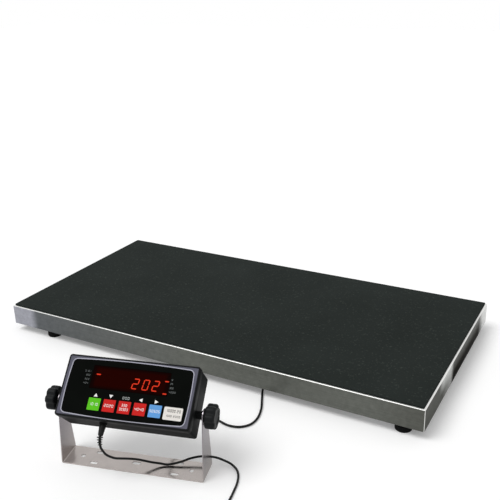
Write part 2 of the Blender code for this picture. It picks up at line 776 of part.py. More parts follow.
def build_junction(root):
    """Junction box under the deck, its lid and its outlet gland. Returns the gland's face point."""
    centre = (JUNCTION_X, 0)

    def outline(inset):
        radius = max(JUNCTION_CORNER_RADIUS - inset, 0.001)
        return rounded_rectangle(JUNCTION_LENGTH - 2 * inset, JUNCTION_WIDTH - 2 * inset, radius)

    rim = FRAME_TOP - JUNCTION_HEIGHT
    shell = cup(
        bmesh.new(), "Z", outline, JUNCTION_WALL, rim, FRAME_TOP - JUNCTION_WALL, FRAME_TOP, 0.001, centre
    )
    solid("junction_box", shell, root, "black_plastic")
    lid = prism(bmesh.new(), outline(0), "Z", rim - GAP - JUNCTION_WALL, rim - GAP, centre)
    solid("junction_lid", lid, root, "black_plastic")

    x = JUNCTION_X + GLAND_OFFSET_X
    z = FRAME_TOP - JUNCTION_HEIGHT / 2
    wall = -JUNCTION_WIDTH / 2 - GAP
    solid("outlet_gland", gland(bmesh.new(), "Y", wall, -1, (x, z)), root, "black_plastic")
    return Vector((x, wall - GLAND_LENGTH, z))


def gland(bm, axis, face, way, centre):
    """A cable gland standing on a face: a flange, a waist and a domed nut."""
    profile = [
        (GLAND_RADIUS, 0),
        (GLAND_RADIUS, 0.25 * GLAND_LENGTH),
        (0.82 * GLAND_RADIUS, 0.3 * GLAND_LENGTH),
        (0.82 * GLAND_RADIUS, 0.75 * GLAND_LENGTH),
        (0.5 * GLAND_RADIUS, GLAND_LENGTH),
    ]
    turns = [(radius, face + way * s) for radius, s in profile]
    return turned(bm, turns, axis, centre, SMALL_ROUND_SIDES)


def bracket_section():
    """The bracket seen from the front: a U of sheet with round bends."""
    outer_x, inner_x = BRACKET_WIDTH / 2, BRACKET_WIDTH / 2 - BRACKET_SHEET
    top = PIVOT_HEIGHT + ARM_TOP_RADIUS
    inner_radius = BRACKET_BEND_RADIUS - BRACKET_SHEET
    points = [(outer_x, top), (inner_x, top)]
    right = []
    for step in range(CORNER_STEPS + 1):
        turn = -math.pi / 2 * step / CORNER_STEPS
        right.append(
            (
                inner_x - inner_radius + inner_radius * math.cos(turn),
                BRACKET_SHEET + inner_radius + inner_radius * math.sin(turn),
            )
        )
    points += right
    points += [(-x, z) for x, z in reversed(right)]
    points += [(-inner_x, top), (-outer_x, top)]
    left = []
    for step in range(CORNER_STEPS + 1):
        turn = math.pi + math.pi / 2 * step / CORNER_STEPS
        left.append(
            (
                -outer_x + BRACKET_BEND_RADIUS + BRACKET_BEND_RADIUS * math.cos(turn),
                BRACKET_BEND_RADIUS + BRACKET_BEND_RADIUS * math.sin(turn),
            )
        )
    points += left
    points += [(-x, z) for x, z in reversed(left)]
    return points


def arm_outline(steps=10):
    """An arm seen from the side: as deep as the base at its foot, with a round top at the pivot."""
    half = BRACKET_DEPTH / 2
    rise = PIVOT_HEIGHT - ARM_FOOT_HEIGHT
    reach = math.hypot(half, rise)
    start = math.atan2(-rise, half) + math.acos(ARM_TOP_RADIUS / reach)
    points = [(half, -0.001), (half, ARM_FOOT_HEIGHT)]
    for step in range(steps + 1):
        turn = start + (math.pi - 2 * start) * step / steps
        points.append((ARM_TOP_RADIUS * math.cos(turn), PIVOT_HEIGHT + ARM_TOP_RADIUS * math.sin(turn)))
    points += [(-half, ARM_FOOT_HEIGHT), (-half, -0.001)]
    return points


def build_bracket(stand):
    """The U bracket, bent from one sheet, with its mounting holes and slots."""
    half = BRACKET_DEPTH / 2
    bracket = solid("bracket", prism(bmesh.new(), bracket_section(), "Y", -half, half), stand, "stainless")
    wide = BRACKET_WIDTH / 2 + BRACKET_SHEET
    arms = prism(bmesh.new(), arm_outline(), "X", -wide, wide)
    combine(bracket, helper("trim_bracket", arms, stand), "INTERSECT")
    holes = bmesh.new()
    through = (-BRACKET_SHEET, 2 * BRACKET_SHEET)
    for x in (-SCREW_HOLE_X, SCREW_HOLE_X):
        prism(holes, circle(SCREW_HOLE_RADIUS, 16), "Z", *through, (x, 0))
    for x in (-SLOT_X, SLOT_X):
        for y in (-SLOT_Y, SLOT_Y):
            prism(holes, slot(SLOT_LENGTH, SLOT_WIDTH), "Z", *through, (x, y))
    prism(holes, slot(CENTRE_SLOT_LENGTH, CENTRE_SLOT_WIDTH), "Z", *through)
    for side in (-1, 1):
        inside, outside = side * (ARM_INNER_X - BRACKET_SHEET), side * wide
        prism(holes, circle(STUD_RADIUS + GAP), "X", inside, outside, (0, PIVOT_HEIGHT))
    combine(bracket, helper("cut_bracket", holes, stand), "DIFFERENCE")


def head_outline(inset, taper=0.0):
    """The head's outline across its face, drawn in by an inset, and by a taper at its sides."""
    width = HEAD_WIDTH - 2 * inset - 2 * taper
    height = HEAD_HEIGHT - 2 * inset
    return rounded_rectangle(width, height, max(HEAD_CORNER_RADIUS - inset, 0.001))


def build_housing(head):
    """Rear housing with a threaded boss at each side, front bezel, and the gland at the back."""
    centre = (0, HEAD_RISE)
    wall, step = HEAD_WALL, HOUSING_STEP
    inside_back = HOUSING_BACK - wall
    loops = [
        lay(head_outline(wall + step, HOUSING_TAPER), "Y", inside_back, centre),
        lay(head_outline(wall + step), "Y", HOUSING_FRONT, centre),
        lay(head_outline(step), "Y", HOUSING_FRONT, centre),
        lay(head_outline(step, HOUSING_TAPER), "Y", HOUSING_BACK - HEAD_EDGE_ROUND, centre),
        lay(head_outline(step + HEAD_EDGE_ROUND, HOUSING_TAPER), "Y", HOUSING_BACK, centre),
    ]
    housing = solid("rear_housing", loft(bmesh.new(), loops), head, "black_plastic")
    bosses, bores = bmesh.new(), bmesh.new()
    wall_x = HEAD_WIDTH / 2 - step - HOUSING_TAPER - wall / 2
    for side in (-1, 1):
        prism(bosses, circle(BOSS_RADIUS), "X", side * wall_x, side * BOSS_FACE_X)
        bottom = BOSS_FACE_X - STUD_BITE - RUNNING
        prism(bores, circle(STUD_RADIUS + GAP), "X", side * bottom, side * (BOSS_FACE_X + RUNNING))
    combine(housing, helper("join_bosses", bosses, head), "UNION")
    plug_hole = circle(SOCKET_RADIUS + GAP)
    prism(bores, plug_hole, "Z", HEAD_BOTTOM - wall, HEAD_BOTTOM + 2 * wall + step, (PLUG_X, PLUG_Y))
    combine(housing, helper("cut_bosses", bores, head), "DIFFERENCE")

    bezel_loops = [
        lay(head_outline(wall + step), "Y", FACE_WALL_BACK, centre),
        lay(head_outline(wall + step), "Y", BEZEL_BACK, centre),
        lay(head_outline(0), "Y", BEZEL_BACK, centre),
        lay(head_outline(0), "Y", FACE_Y + HEAD_EDGE_ROUND, centre),
        lay(head_outline(HEAD_EDGE_ROUND * 0.3), "Y", FACE_Y + HEAD_EDGE_ROUND * 0.3, centre),
        lay(head_outline(HEAD_EDGE_ROUND), "Y", FACE_Y, centre),
    ]
    bezel = solid("front_bezel", loft(bmesh.new(), bezel_loops), head, "bezel_plastic")
    recess = bmesh.new()
    prism(recess, panel_outline(GAP), "Y", FACE_Y - RUNNING, RECESS_FLOOR, (0, PANEL_Z))
    combine(bezel, helper("cut_recess", recess, head), "DIFFERENCE")
    openings = bmesh.new()
    through = (FACE_Y, FACE_WALL_BACK + RUNNING)
    sight = rounded_rectangle(WINDOW_WIDTH - 2 * WINDOW_LEDGE, WINDOW_HEIGHT - 2 * WINDOW_LEDGE, 0.001, 1)
    prism(openings, sight, "Y", *through, (WINDOW_X, WINDOW_Z))
    stem = key_stem_size(GAP)
    for x in key_positions():
        prism(openings, rounded_rectangle(*stem, 0.001, 1), "Y", *through, (x, KEY_Z))
    combine(bezel, helper("cut_openings", openings, head), "DIFFERENCE")

    face = HOUSING_BACK + GAP
    rear = gland(bmesh.new(), "Y", face, 1, (REAR_GLAND_X, REAR_GLAND_Z))
    solid("rear_gland", rear, head, "black_plastic")
    return Vector((REAR_GLAND_X, face + GLAND_LENGTH, REAR_GLAND_Z))


def panel_outline(clearance=0.0):
    """The keypad panel's outline, its four sides bowed outwards, with a clearance all round."""
    width, height = PANEL_WIDTH + 2 * clearance, PANEL_HEIGHT + 2 * clearance
    corners = rounded_rectangle(width, height, PANEL_CORNER_RADIUS + clearance)
    points = []
    for (x, z), (next_x, next_z) in zip(corners, corners[1:] + corners[:1]):
        reach = max(abs(next_x - x), abs(next_z - z))
        parts = max(1, round(reach / PANEL_SIDE_STEP))
        points += [(x + (next_x - x) * i / parts, z + (next_z - z) * i / parts) for i in range(parts)]
    return [
        (
            x - math.copysign(PANEL_SIDE_BOW, x) * (2 * z / height) ** 2,
            z - math.copysign(PANEL_TOP_BOW, z) * (2 * x / width) ** 2,
        )
        for x, z in points
    ]


def key_positions():
    """The keys' centres along the row."""
    return [KEY_ROW_X + (i - (KEY_COUNT - 1) / 2) * KEY_PITCH for i in range(KEY_COUNT)]


def key_stem_size(clearance=0.0):
    """Width and height of the stem behind a key, with a clearance all round."""
    drawn_in = 2 * KEY_STEM_MARGIN - 2 * clearance
    return KEY_WIDTH - drawn_in, KEY_HEIGHT - drawn_in


def build_panel(head):
    """Keypad panel, display window, keys and label."""
    panel_back = PANEL_FRONT + PANEL_THICKNESS
    panel = prism(bmesh.new(), panel_outline(), "Y", PANEL_FRONT, panel_back, (0, PANEL_Z))
    panel = solid("keypad_panel", panel, head, "panel_film")
    holes = bmesh.new()
    through = (PANEL_FRONT - RUNNING, panel_back + RUNNING)
    window_hole = rounded_rectangle(WINDOW_WIDTH + 2 * GAP, WINDOW_HEIGHT + 2 * GAP, 0.001, 1)
    prism(holes, window_hole, "Y", *through, (WINDOW_X, WINDOW_Z))
    key_hole = rounded_rectangle(KEY_WIDTH + 2 * GAP, KEY_HEIGHT + 2 * GAP, 0.001, 1)
    for x in key_positions():
        prism(holes, key_hole, "Y", *through, (x, KEY_Z))
    combine(panel, helper("cut_panel", holes, head), "DIFFERENCE")

    window_back = RECESS_FLOOR - GAP
    window_outline = rounded_rectangle(WINDOW_WIDTH, WINDOW_HEIGHT, 0.001, 1)
    window_front = window_back - WINDOW_THICKNESS
    window = prism(bmesh.new(), window_outline, "Y", window_front, window_back, (WINDOW_X, WINDOW_Z))
    solid("display_window", window, head, "red_filter")

    cap_front = PANEL_FRONT - KEY_PROUD
    cap_back = cap_front + KEY_CAP_THICKNESS
    stem_back = switch_face() - KEY_TRAVEL - GAP
    for i, (x, look) in enumerate(zip(key_positions(), KEY_COLOURS), start=1):
        cap = rounded_rectangle(KEY_WIDTH, KEY_HEIGHT, 0.001, 1)
        stem = rounded_rectangle(*key_stem_size(), 0.001, 1)
        loops = [
            lay(cap, "Y", cap_front, (x, KEY_Z)),
            lay(cap, "Y", cap_back, (x, KEY_Z)),
            lay(stem, "Y", cap_back, (x, KEY_Z)),
            lay(stem, "Y", stem_back, (x, KEY_Z)),
        ]
        solid(f"key_{i}", loft(bmesh.new(), loops), head, look, origin=(x, cap_front, KEY_Z))

    label_outline = rounded_rectangle(LABEL_WIDTH, LABEL_HEIGHT, LABEL_CORNER_RADIUS)
    label_back = PANEL_FRONT - GAP
    label = prism(bmesh.new(), label_outline, "Y", label_back - LABEL_THICKNESS, label_back, (LABEL_X, KEY_Z))
    solid("capacity_label", label, head, "label_white")


def board_front():
    """Where the display board's front face lies: the digit module just clears the face wall."""
    return FACE_WALL_BACK + GAP + DIGIT_MODULE_DEPTH


def switch_face():
    """Where the key switches' tops lie, ahead of the display board."""
    return FACE_WALL_BACK + 0.75 * DIGIT_MODULE_DEPTH


def build_boards(head):
    """Display board with its digit module and key switches, and the main board behind it."""
    centre = (0, HEAD_RISE)
    seat = HEAD_WALL + HOUSING_STEP + GAP
    front = board_front()
    sheet = prism(bmesh.new(), head_outline(seat), "Y", front, front + BOARD_THICKNESS, centre)
    board = solid("display_board", sheet, head, "circuit_board")
    extras = bmesh.new()
    module = rounded_rectangle(WINDOW_WIDTH, WINDOW_HEIGHT, 0.001, 1)
    into_board = front + BOARD_THICKNESS / 2
    prism(extras, module, "Y", FACE_WALL_BACK + GAP, into_board, (WINDOW_X, WINDOW_Z))
    switch = rounded_rectangle(SWITCH_WIDTH, SWITCH_WIDTH, 0.001, 1)
    for x in key_positions():
        prism(extras, switch, "Y", switch_face(), into_board, (x, KEY_Z))
    combine(board, helper("join_display", extras, head), "UNION")

    fall = (MAIN_BOARD_Y - HOUSING_FRONT + BOARD_THICKNESS) / (HOUSING_DEPTH - HEAD_WALL)
    main_outline = head_outline(seat, HOUSING_TAPER * fall)
    back = MAIN_BOARD_Y + BOARD_THICKNESS
    main = solid(
        "main_board", prism(bmesh.new(), main_outline, "Y", MAIN_BOARD_Y, back, centre), head, "circuit_board"
    )
    parts = bmesh.new()
    parts_back = back + MAIN_BOARD_PARTS_DEPTH
    parts_front = back - BOARD_THICKNESS / 2
    transformer = rounded_rectangle(*TRANSFORMER_SIZE, 0.002, 1)
    transformer_at = (TRANSFORMER_PLACE[0], HEAD_RISE + TRANSFORMER_PLACE[1])
    prism(parts, transformer, "Y", parts_front, parts_back, transformer_at)
    terminals = rounded_rectangle(*TERMINALS_SIZE, 0.001, 1)
    prism(parts, terminals, "Y", parts_front, parts_back, (REAR_GLAND_X, HEAD_RISE - TERMINALS_DROP))
    capacitor = circle(CAPACITOR_RADIUS, SMALL_ROUND_SIDES)
    for x in CAPACITORS_X:
        prism(parts, capacitor, "Y", parts_front, parts_back, (x, HEAD_RISE + CAPACITORS_RISE))
    combine(main, helper("join_main", parts, head), "UNION")


def build_clamps(head):
    """Side washers and the fluted clamp knobs with their studs."""
    for name, side in (("left", -1), ("right", 1)):
        bore = circle(STUD_RADIUS + GAP)
        rim = circle(WASHER_RADIUS)
        near = side * (BOSS_FACE_X + GAP)
        far = side * (ARM_INNER_X - GAP)
        loops = [lay(rim, "X", near), lay(rim, "X", far), lay(bore, "X", far), lay(bore, "X", near)]
        solid(f"side_washer_{name}", loft(bmesh.new(), loops, cyclic=True), head, "rubber")

        hub = BRACKET_WIDTH / 2 + GAP
        body = hub + KNOB_HUB_LENGTH
        end = body + KNOB_DEPTH
        points = KNOB_LOBES * KNOB_POINTS_PER_LOBE
        loops = [
            lay(circle(STUD_RADIUS, points), "X", side * (BOSS_FACE_X - STUD_BITE)),
            lay(circle(STUD_RADIUS, points), "X", side * hub),
            lay(circle(KNOB_HUB_RADIUS, points), "X", side * hub),
            lay(circle(KNOB_HUB_RADIUS, points), "X", side * body),
            lay(lobed(0.88), "X", side * body),
            lay(lobed(1.0), "X", side * (body + 0.15 * KNOB_DEPTH)),
            lay(lobed(1.0), "X", side * (body + 0.80 * KNOB_DEPTH)),
            lay(circle(0.80 * KNOB_RADIUS, points), "X", side * end),
        ]
        solid(f"clamp_knob_{name}", loft(bmesh.new(), loops), head, "black_plastic")


def lobed(scale):
    """Outline of the knob's fluted grip: broad lobes with narrow grooves between them."""
    points = []
    count = KNOB_LOBES * KNOB_POINTS_PER_LOBE
    for i in range(count):
        turn = 2 * math.pi * i / count
        groove = (0.5 - 0.5 * math.cos(KNOB_LOBES * turn)) ** 2
        radius = scale * KNOB_RADIUS * (1 - KNOB_FLUTE * groove)
        points.append((radius * math.cos(turn), radius * math.sin(turn)))
    return points


def build_plug(head):
    """DC socket in the underside, and the plug with its ribbed relief. Returns the relief's tip."""
    centre = (PLUG_X, PLUG_Y)
    socket_profile = [
        (SOCKET_FLANGE_RADIUS, HEAD_BOTTOM - SOCKET_FLANGE),
        (SOCKET_FLANGE_RADIUS, HEAD_BOTTOM + HOUSING_STEP - GAP),
        (SOCKET_RADIUS, HEAD_BOTTOM + HOUSING_STEP - GAP),
        (SOCKET_RADIUS, HEAD_BOTTOM + SOCKET_LENGTH),
        (BARREL_RADIUS + GAP, HEAD_BOTTOM + SOCKET_LENGTH),
        (BARREL_RADIUS + GAP, HEAD_BOTTOM - SOCKET_FLANGE),
    ]
    loops = [lay(circle(radius, 16), "Z", z, centre) for radius, z in socket_profile]
    solid("dc_socket", loft(bmesh.new(), loops, cyclic=True), head, "black_plastic")

    relief_length = RELIEF_RIBS * RELIEF_PITCH
    top = Vector((PLUG_X, PLUG_Y, SOCKET_FACE_Z))
    aside = Vector((math.cos(RELIEF_BEND_WAY), math.sin(RELIEF_BEND_WAY), 0))

    def spine(s):
        """The plug's axis: straight down its body, then bending to the right and the back."""
        if s <= PLUG_LENGTH:
            return top + Vector((0, 0, -s)), Vector((0, 0, -1))
        turn = (s - PLUG_LENGTH) / RELIEF_BEND_RADIUS
        across = RELIEF_BEND_RADIUS * (1 - math.cos(turn))
        down = PLUG_LENGTH + RELIEF_BEND_RADIUS * math.sin(turn)
        way = aside * math.sin(turn) - Vector((0, 0, math.cos(turn)))
        return top + aside * across - Vector((0, 0, down)), way

    rings = [
        (-BARREL_LENGTH, BARREL_RADIUS),
        (0, BARREL_RADIUS),
        (0, PLUG_ROOT_RADIUS * 0.92),
        (0.0012, PLUG_ROOT_RADIUS),
        (0.3 * PLUG_LENGTH, PLUG_ROOT_RADIUS * 0.97),
        (0.92 * PLUG_LENGTH, PLUG_TIP_RADIUS),
        (PLUG_LENGTH, RELIEF_CORE_RADIUS),
    ]
    for rib in range(RELIEF_RIBS):
        start = PLUG_LENGTH + rib * RELIEF_PITCH
        rib_radius = RELIEF_RIB_RADIUS - RELIEF_RIB_FALL * rib
        rings += [
            (start + 0.42 * RELIEF_PITCH, RELIEF_CORE_RADIUS),
            (start + 0.50 * RELIEF_PITCH, rib_radius),
            (start + 0.78 * RELIEF_PITCH, rib_radius),
            (start + 0.86 * RELIEF_PITCH, RELIEF_CORE_RADIUS),
        ]
    rings.append((PLUG_LENGTH + relief_length, RELIEF_CORE_RADIUS))
    solid("dc_plug", swept(bmesh.new(), spine, rings, SMALL_ROUND_SIDES), head, "cord_black")
    return spine(PLUG_LENGTH + relief_length)


def build_adaptor(stand):
    """Wall adaptor lying on the floor, with a tapered relief and two blades. Returns its tip."""
    y = DC_COIL_CENTRE[1] - coil_radius(DC_LEAD_DIAMETER, DC_COIL_TURNS)
    z = ADAPTOR_HEIGHT / 2 + GAP
    near = ADAPTOR_TIP_X + ADAPTOR_RELIEF_LENGTH
    far = near + ADAPTOR_LENGTH

    def outline(inset):
        size = (ADAPTOR_WIDTH - 2 * inset, ADAPTOR_HEIGHT - 2 * inset)
        return rounded_rectangle(*size, ADAPTOR_CORNER_RADIUS - inset)

    edge = ADAPTOR_EDGE_ROUND
    loops = [
        lay(outline(edge), "X", near, (y, z)),
        lay(outline(0), "X", near + edge, (y, z)),
        lay(outline(0), "X", far - edge, (y, z)),
        lay(outline(edge), "X", far, (y, z)),
    ]
    adaptor = solid("wall_adaptor", loft(bmesh.new(), loops), stand, "black_plastic")
    extras = bmesh.new()
    relief = [
        (RELIEF_CORE_RADIUS, ADAPTOR_TIP_X),
        (ADAPTOR_RELIEF_ROOT_RADIUS, near),
        (ADAPTOR_RELIEF_ROOT_RADIUS, near + 2 * ADAPTOR_EDGE_ROUND),
    ]
    turned(extras, relief, "X", (y, z), 16)
    for side in (-1, 1):
        blade = rounded_rectangle(BLADE_THICKNESS, BLADE_WIDTH, 0.0004, 1)
        blade_y = y + side * BLADE_PITCH / 2
        prism(extras, blade, "X", far - 0.002, far + BLADE_LENGTH, (blade_y, z))
    combine(adaptor, helper("join_adaptor", extras, stand), "UNION")
    return Vector((ADAPTOR_TIP_X, y, z))


def in_frame(frame, point, top):
    """A point given in a frame, in the top frame that the frames hang from."""
    matrix = Matrix.Identity(4)
    while frame is not top:
        matrix = Matrix.LocRotScale(frame.location, frame.rotation_euler, None) @ matrix
        frame = frame.parent
    return matrix @ Vector(point), matrix.to_3x3()


def build_dc_lead(root, stand, head, plug_tip, plug_way, adaptor_tip):
    """The DC lead from the plug, over the bracket's base and behind its right arm, to the adaptor."""
    start, turn = in_frame(head, plug_tip, root)
    start_way = turn @ plug_way
    route = [
        (-0.0340, -0.0627, 0.0677),
        (-0.0309, -0.0611, 0.0616),
        (-0.0269, -0.0577, 0.0556),
        (-0.0191, -0.0489, 0.0457),
        (-0.0126, -0.0403, 0.0398),
        (-0.0021, -0.0278, 0.0318),
        (0.0096, -0.0172, 0.0243),
        (0.0215, -0.0097, 0.0174),
        (0.0340, -0.0040, 0.0117),
        (0.0480, 0.0018, 0.0070),
        (0.0615, 0.0042, 0.0049),
        (0.0850, 0.0125, 0.0085),
        (0.1020, 0.0215, 0.0125),
        (0.1225, 0.0290, 0.0150),
        (0.1480, 0.0325, 0.0140),
        (0.1640, 0.0325, 0.0100),
        (0.1810, 0.0290, 0.0055),
        (0.1960, 0.0150, 0.0029),
        (0.2035, -0.0120, 0.0025),
        (0.2035, -0.0500, 0.0025),
        (0.2012, -0.0850, 0.0025),
    ]
    place = [in_frame(stand, point, root)[0] for point in route]
    centre = in_frame(stand, (*DC_COIL_CENTRE, 0), root)[0]
    coil_start, way_in, coil_end, way_out = coil(
        "dc_lead_coil", centre, DC_LEAD_DIAMETER, DC_COIL_TURNS, math.pi + INDICATOR_YAW, root
    )
    free_stretch("dc_lead", start, start_way, place, coil_start, way_in, DC_LEAD_DIAMETER, root)
    tip, _ = in_frame(stand, adaptor_tip, root)
    middle = [coil_end.lerp(tip, 0.5)]
    free_stretch("dc_lead_tail", coil_end, way_out, middle, tip, way_out, DC_LEAD_DIAMETER, root)


def build_load_cable(root, stand, head, rear_tip, outlet_tip):
    """The load-cell cable from the head's back, along the floor and under the platform."""
    start, turn = in_frame(head, rear_tip, root)
    start_way = turn @ Vector((0, 1, 0))
    route = [
        (0.0455, 0.0400, 0.0660),
        (0.0465, 0.0620, 0.0440),
        (0.0480, 0.0890, 0.0230),
        (0.0510, 0.1170, 0.0095),
        (0.0575, 0.1430, 0.0040),
        (0.0690, 0.1630, 0.0029),
        (0.0880, 0.1740, 0.0028),
        (0.1110, 0.1690, 0.0028),
        (0.1330, 0.1570, 0.0028),
        (0.1480, 0.1530, 0.0028),
        (0.1660, 0.1545, 0.0028),
        (0.1840, 0.1680, 0.0028),
        (0.1925, 0.1930, 0.0028),
        (0.1920, 0.2280, 0.0028),
        (0.1850, 0.2650, 0.0028),
        (0.1780, 0.3050, 0.0028),
        (0.1765, 0.3500, 0.0028),
    ]
    place = [in_frame(stand, point, root)[0] for point in route]
    coil_start, way_in, coil_end, way_out = coil(
        "load_cable_coil",
        LOAD_COIL_CENTRE,
        LOAD_CABLE_DIAMETER,
        LOAD_COIL_TURNS - INDICATOR_YAW / (2 * math.pi),
        INDICATOR_YAW,
        root,
    )
    free_stretch("load_cable", start, start_way, place, coil_start, way_in, LOAD_CABLE_DIAMETER, root)
    rise = [
        (0.161, -0.148, 0.0095),
        (0.158, -0.124, 0.0180),
        (0.151, -0.100, 0.0330),
        (0.146, -0.080, 0.0455),
    ]
    free_stretch(
        "load_cable_tail", coil_end, way_out, rise, outlet_tip, (0, 1, 0), LOAD_CABLE_DIAMETER, root
    )


def centre_on_origin(root, left_out):
    """Move the whole scale so that its box, without the cords, is centred over the origin."""
    bpy.context.view_layer.update()
    shapes = bpy.context.evaluated_depsgraph_get()
    low, high = Vector((math.inf,) * 3), Vector((-math.inf,) * 3)
    for piece in bpy.data.objects:
        if piece.type != "MESH" or piece.hide_render or piece.name in left_out:
            continue
        shape = piece.evaluated_get(shapes)
        for vertex in shape.data.vertices:
            point = shape.matrix_world @ vertex.co
            low = Vector(map(min, low, point))
            high = Vector(map(max, high, point))
    root.location.x -= (low.x + high.x) / 2
    root.location.y -= (low.y + high.y) / 2


def main():
    for old in list(bpy.data.objects):
        bpy.data.objects.remove(old)

    root = empty("scale")
    stand_y = -PLATFORM_WIDTH / 2 - INDICATOR_AHEAD
    stand = empty("indicator", root, (INDICATOR_RIGHT, stand_y, 0), (0, 0, INDICATOR_YAW))
    head = empty("head", stand, (0, 0, PIVOT_HEIGHT), (-HEAD_TILT, 0, 0))

    build_deck(root)
    for side_y in (-1, 1):
        for side_x in (-1, 1):
            build_corner(root, side_x, side_y)
    outlet_tip = build_junction(root)

    build_bracket(stand)
    rear_tip = build_housing(head)
    build_panel(head)
    build_boards(head)
    build_clamps(head)
    plug_tip, plug_way = build_plug(head)
    adaptor_tip = build_adaptor(stand)

    build_dc_lead(root, stand, head, plug_tip, plug_way, adaptor_tip)
    build_load_cable(root, stand, head, rear_tip, outlet_tip)
    centre_on_origin(root, {"dc_plug", "wall_adaptor"})


main()
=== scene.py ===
# %% [markdown]
# A livestock scale: a low platform on load cells, and a digital indicator in a U bracket beside it.
# The CAD frame gives every place and size. This script dresses it: finer shapes, and a finish for each
# surface that is named for the real one. It starts with the frame and keeps the CAD model's box, which is
# set beside the dressed model's box at the end.

# %% Load the frame
import json
import math

import bmesh
import bpy
from mathutils import Matrix, Vector


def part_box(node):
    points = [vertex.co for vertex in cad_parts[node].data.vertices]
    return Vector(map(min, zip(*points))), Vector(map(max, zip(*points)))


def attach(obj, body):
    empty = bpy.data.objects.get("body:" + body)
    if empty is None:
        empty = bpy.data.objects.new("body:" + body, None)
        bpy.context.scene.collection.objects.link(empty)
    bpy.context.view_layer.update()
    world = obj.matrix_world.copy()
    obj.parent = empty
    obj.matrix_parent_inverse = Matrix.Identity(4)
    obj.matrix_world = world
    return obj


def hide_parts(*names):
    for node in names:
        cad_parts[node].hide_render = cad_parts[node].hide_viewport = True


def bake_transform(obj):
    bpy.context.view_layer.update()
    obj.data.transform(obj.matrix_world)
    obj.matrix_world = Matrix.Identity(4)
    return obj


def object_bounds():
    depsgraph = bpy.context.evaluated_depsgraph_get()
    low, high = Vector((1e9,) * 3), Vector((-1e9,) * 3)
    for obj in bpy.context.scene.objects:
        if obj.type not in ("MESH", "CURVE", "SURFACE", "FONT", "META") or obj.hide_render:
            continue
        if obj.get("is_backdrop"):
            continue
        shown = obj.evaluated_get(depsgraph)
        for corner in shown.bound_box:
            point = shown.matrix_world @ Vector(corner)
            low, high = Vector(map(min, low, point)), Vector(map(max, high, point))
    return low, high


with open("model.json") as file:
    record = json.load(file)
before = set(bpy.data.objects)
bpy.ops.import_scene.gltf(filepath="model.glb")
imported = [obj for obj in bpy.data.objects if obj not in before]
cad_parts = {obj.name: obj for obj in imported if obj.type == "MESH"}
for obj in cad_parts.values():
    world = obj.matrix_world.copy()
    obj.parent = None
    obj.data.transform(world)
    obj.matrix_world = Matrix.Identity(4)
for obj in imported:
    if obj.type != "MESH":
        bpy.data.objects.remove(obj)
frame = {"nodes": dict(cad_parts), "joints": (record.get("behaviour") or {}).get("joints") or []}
nodes = frame["nodes"]
cad_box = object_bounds()
print("CAD nodes:", len(nodes))

# %% [markdown]
# Three places tie everything together: the middle of the platform, the foot of the bracket and the tilt
# axis of the head. They come from the frame itself. The head's own axes are X to the right, Y into its
# depth and Z up its face, so a key or a screw can be placed by numbers that read like a drawing.

# %% Frames of the platform, the stand and the head
MM = 0.001
GAP = 0.3 * MM
HEAD_TILT = math.radians(47.6)

deck_low, deck_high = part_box("deck_pan")
PLATFORM = Matrix.Translation(((deck_low.x + deck_high.x) / 2, (deck_low.y + deck_high.y) / 2, 0))
tilt = next(joint for joint in frame["joints"] if joint["name"] == "head_tilt")
pivot = Vector(tilt["pos_m"])
yaw = math.atan2(tilt["axis"][1], tilt["axis"][0])
STAND = Matrix.Translation((pivot.x, pivot.y, 0)) @ Matrix.Rotation(yaw, 4, "Z")
HEAD = Matrix.Translation(pivot) @ Matrix.Rotation(yaw, 4, "Z") @ Matrix.Rotation(-HEAD_TILT, 4, "X")
print("head pivot:", tuple(round(v, 4) for v in pivot), "yaw:", round(math.degrees(yaw), 2))

# %% [markdown]
# The camera stands where the picture was taken from. Its place was fitted to the platform's corners, so the
# picture's frame and the object agree. A plain perspective lens is enough, without shift or blur.

# %% Camera
EYE_AT, LENS, SENSOR = (0.8639, -1.30392, 0.888), 53.39, 36
BEARING, PITCH, ROLL = math.radians(-29.411), math.radians(21.055), math.radians(-1.611)


def placed(name, data):
    """A new object in the scene."""
    made = bpy.data.objects.new(name, data)
    bpy.context.scene.collection.objects.link(made)
    return made


ahead = Vector((math.sin(BEARING) * math.cos(PITCH), math.cos(BEARING) * math.cos(PITCH), -math.sin(PITCH)))
level = Vector((math.cos(BEARING), -math.sin(BEARING), 0))
above = level.cross(ahead)
right = math.cos(ROLL) * level + math.sin(ROLL) * above
up = -math.sin(ROLL) * level + math.cos(ROLL) * above
eye = bpy.data.cameras.new("eye")
eye.lens, eye.sensor_width = LENS, SENSOR
eye.clip_start, eye.clip_end = 0.05, 50
camera = placed("eye", eye)
camera.matrix_world = Matrix.Translation(EYE_AT) @ Matrix((right, up, -ahead)).transposed().to_4x4()
bpy.context.scene.camera = camera
print("camera at", tuple(round(v, 3) for v in camera.matrix_world.translation))

# %% [markdown]
# A material here is a small network of nodes. One helper turns a colour sample into the linear numbers that
# a shader takes, one adds a node with its settings and links, and a pair opens and closes a material.
# Patterns read Object coordinates, which are metres on this object, so a noise scale of 1000 makes grains of
# about one millimetre. A Mix node's inputs 0, 6 and 7 are its share and its two colours, and a Map Range
# node's inputs 0 to 4 are its value, the range that comes in and the range that goes out.

# %% Helpers for materials
def linear(colour):
    """An sRGB hex colour as the linear values that a shader takes."""
    parts = [int(colour[i : i + 2], 16) / 255 for i in (0, 2, 4)]
    return (*[c / 12.92 if c <= 0.04045 else ((c + 0.055) / 1.055) ** 2.4 for c in parts], 1)


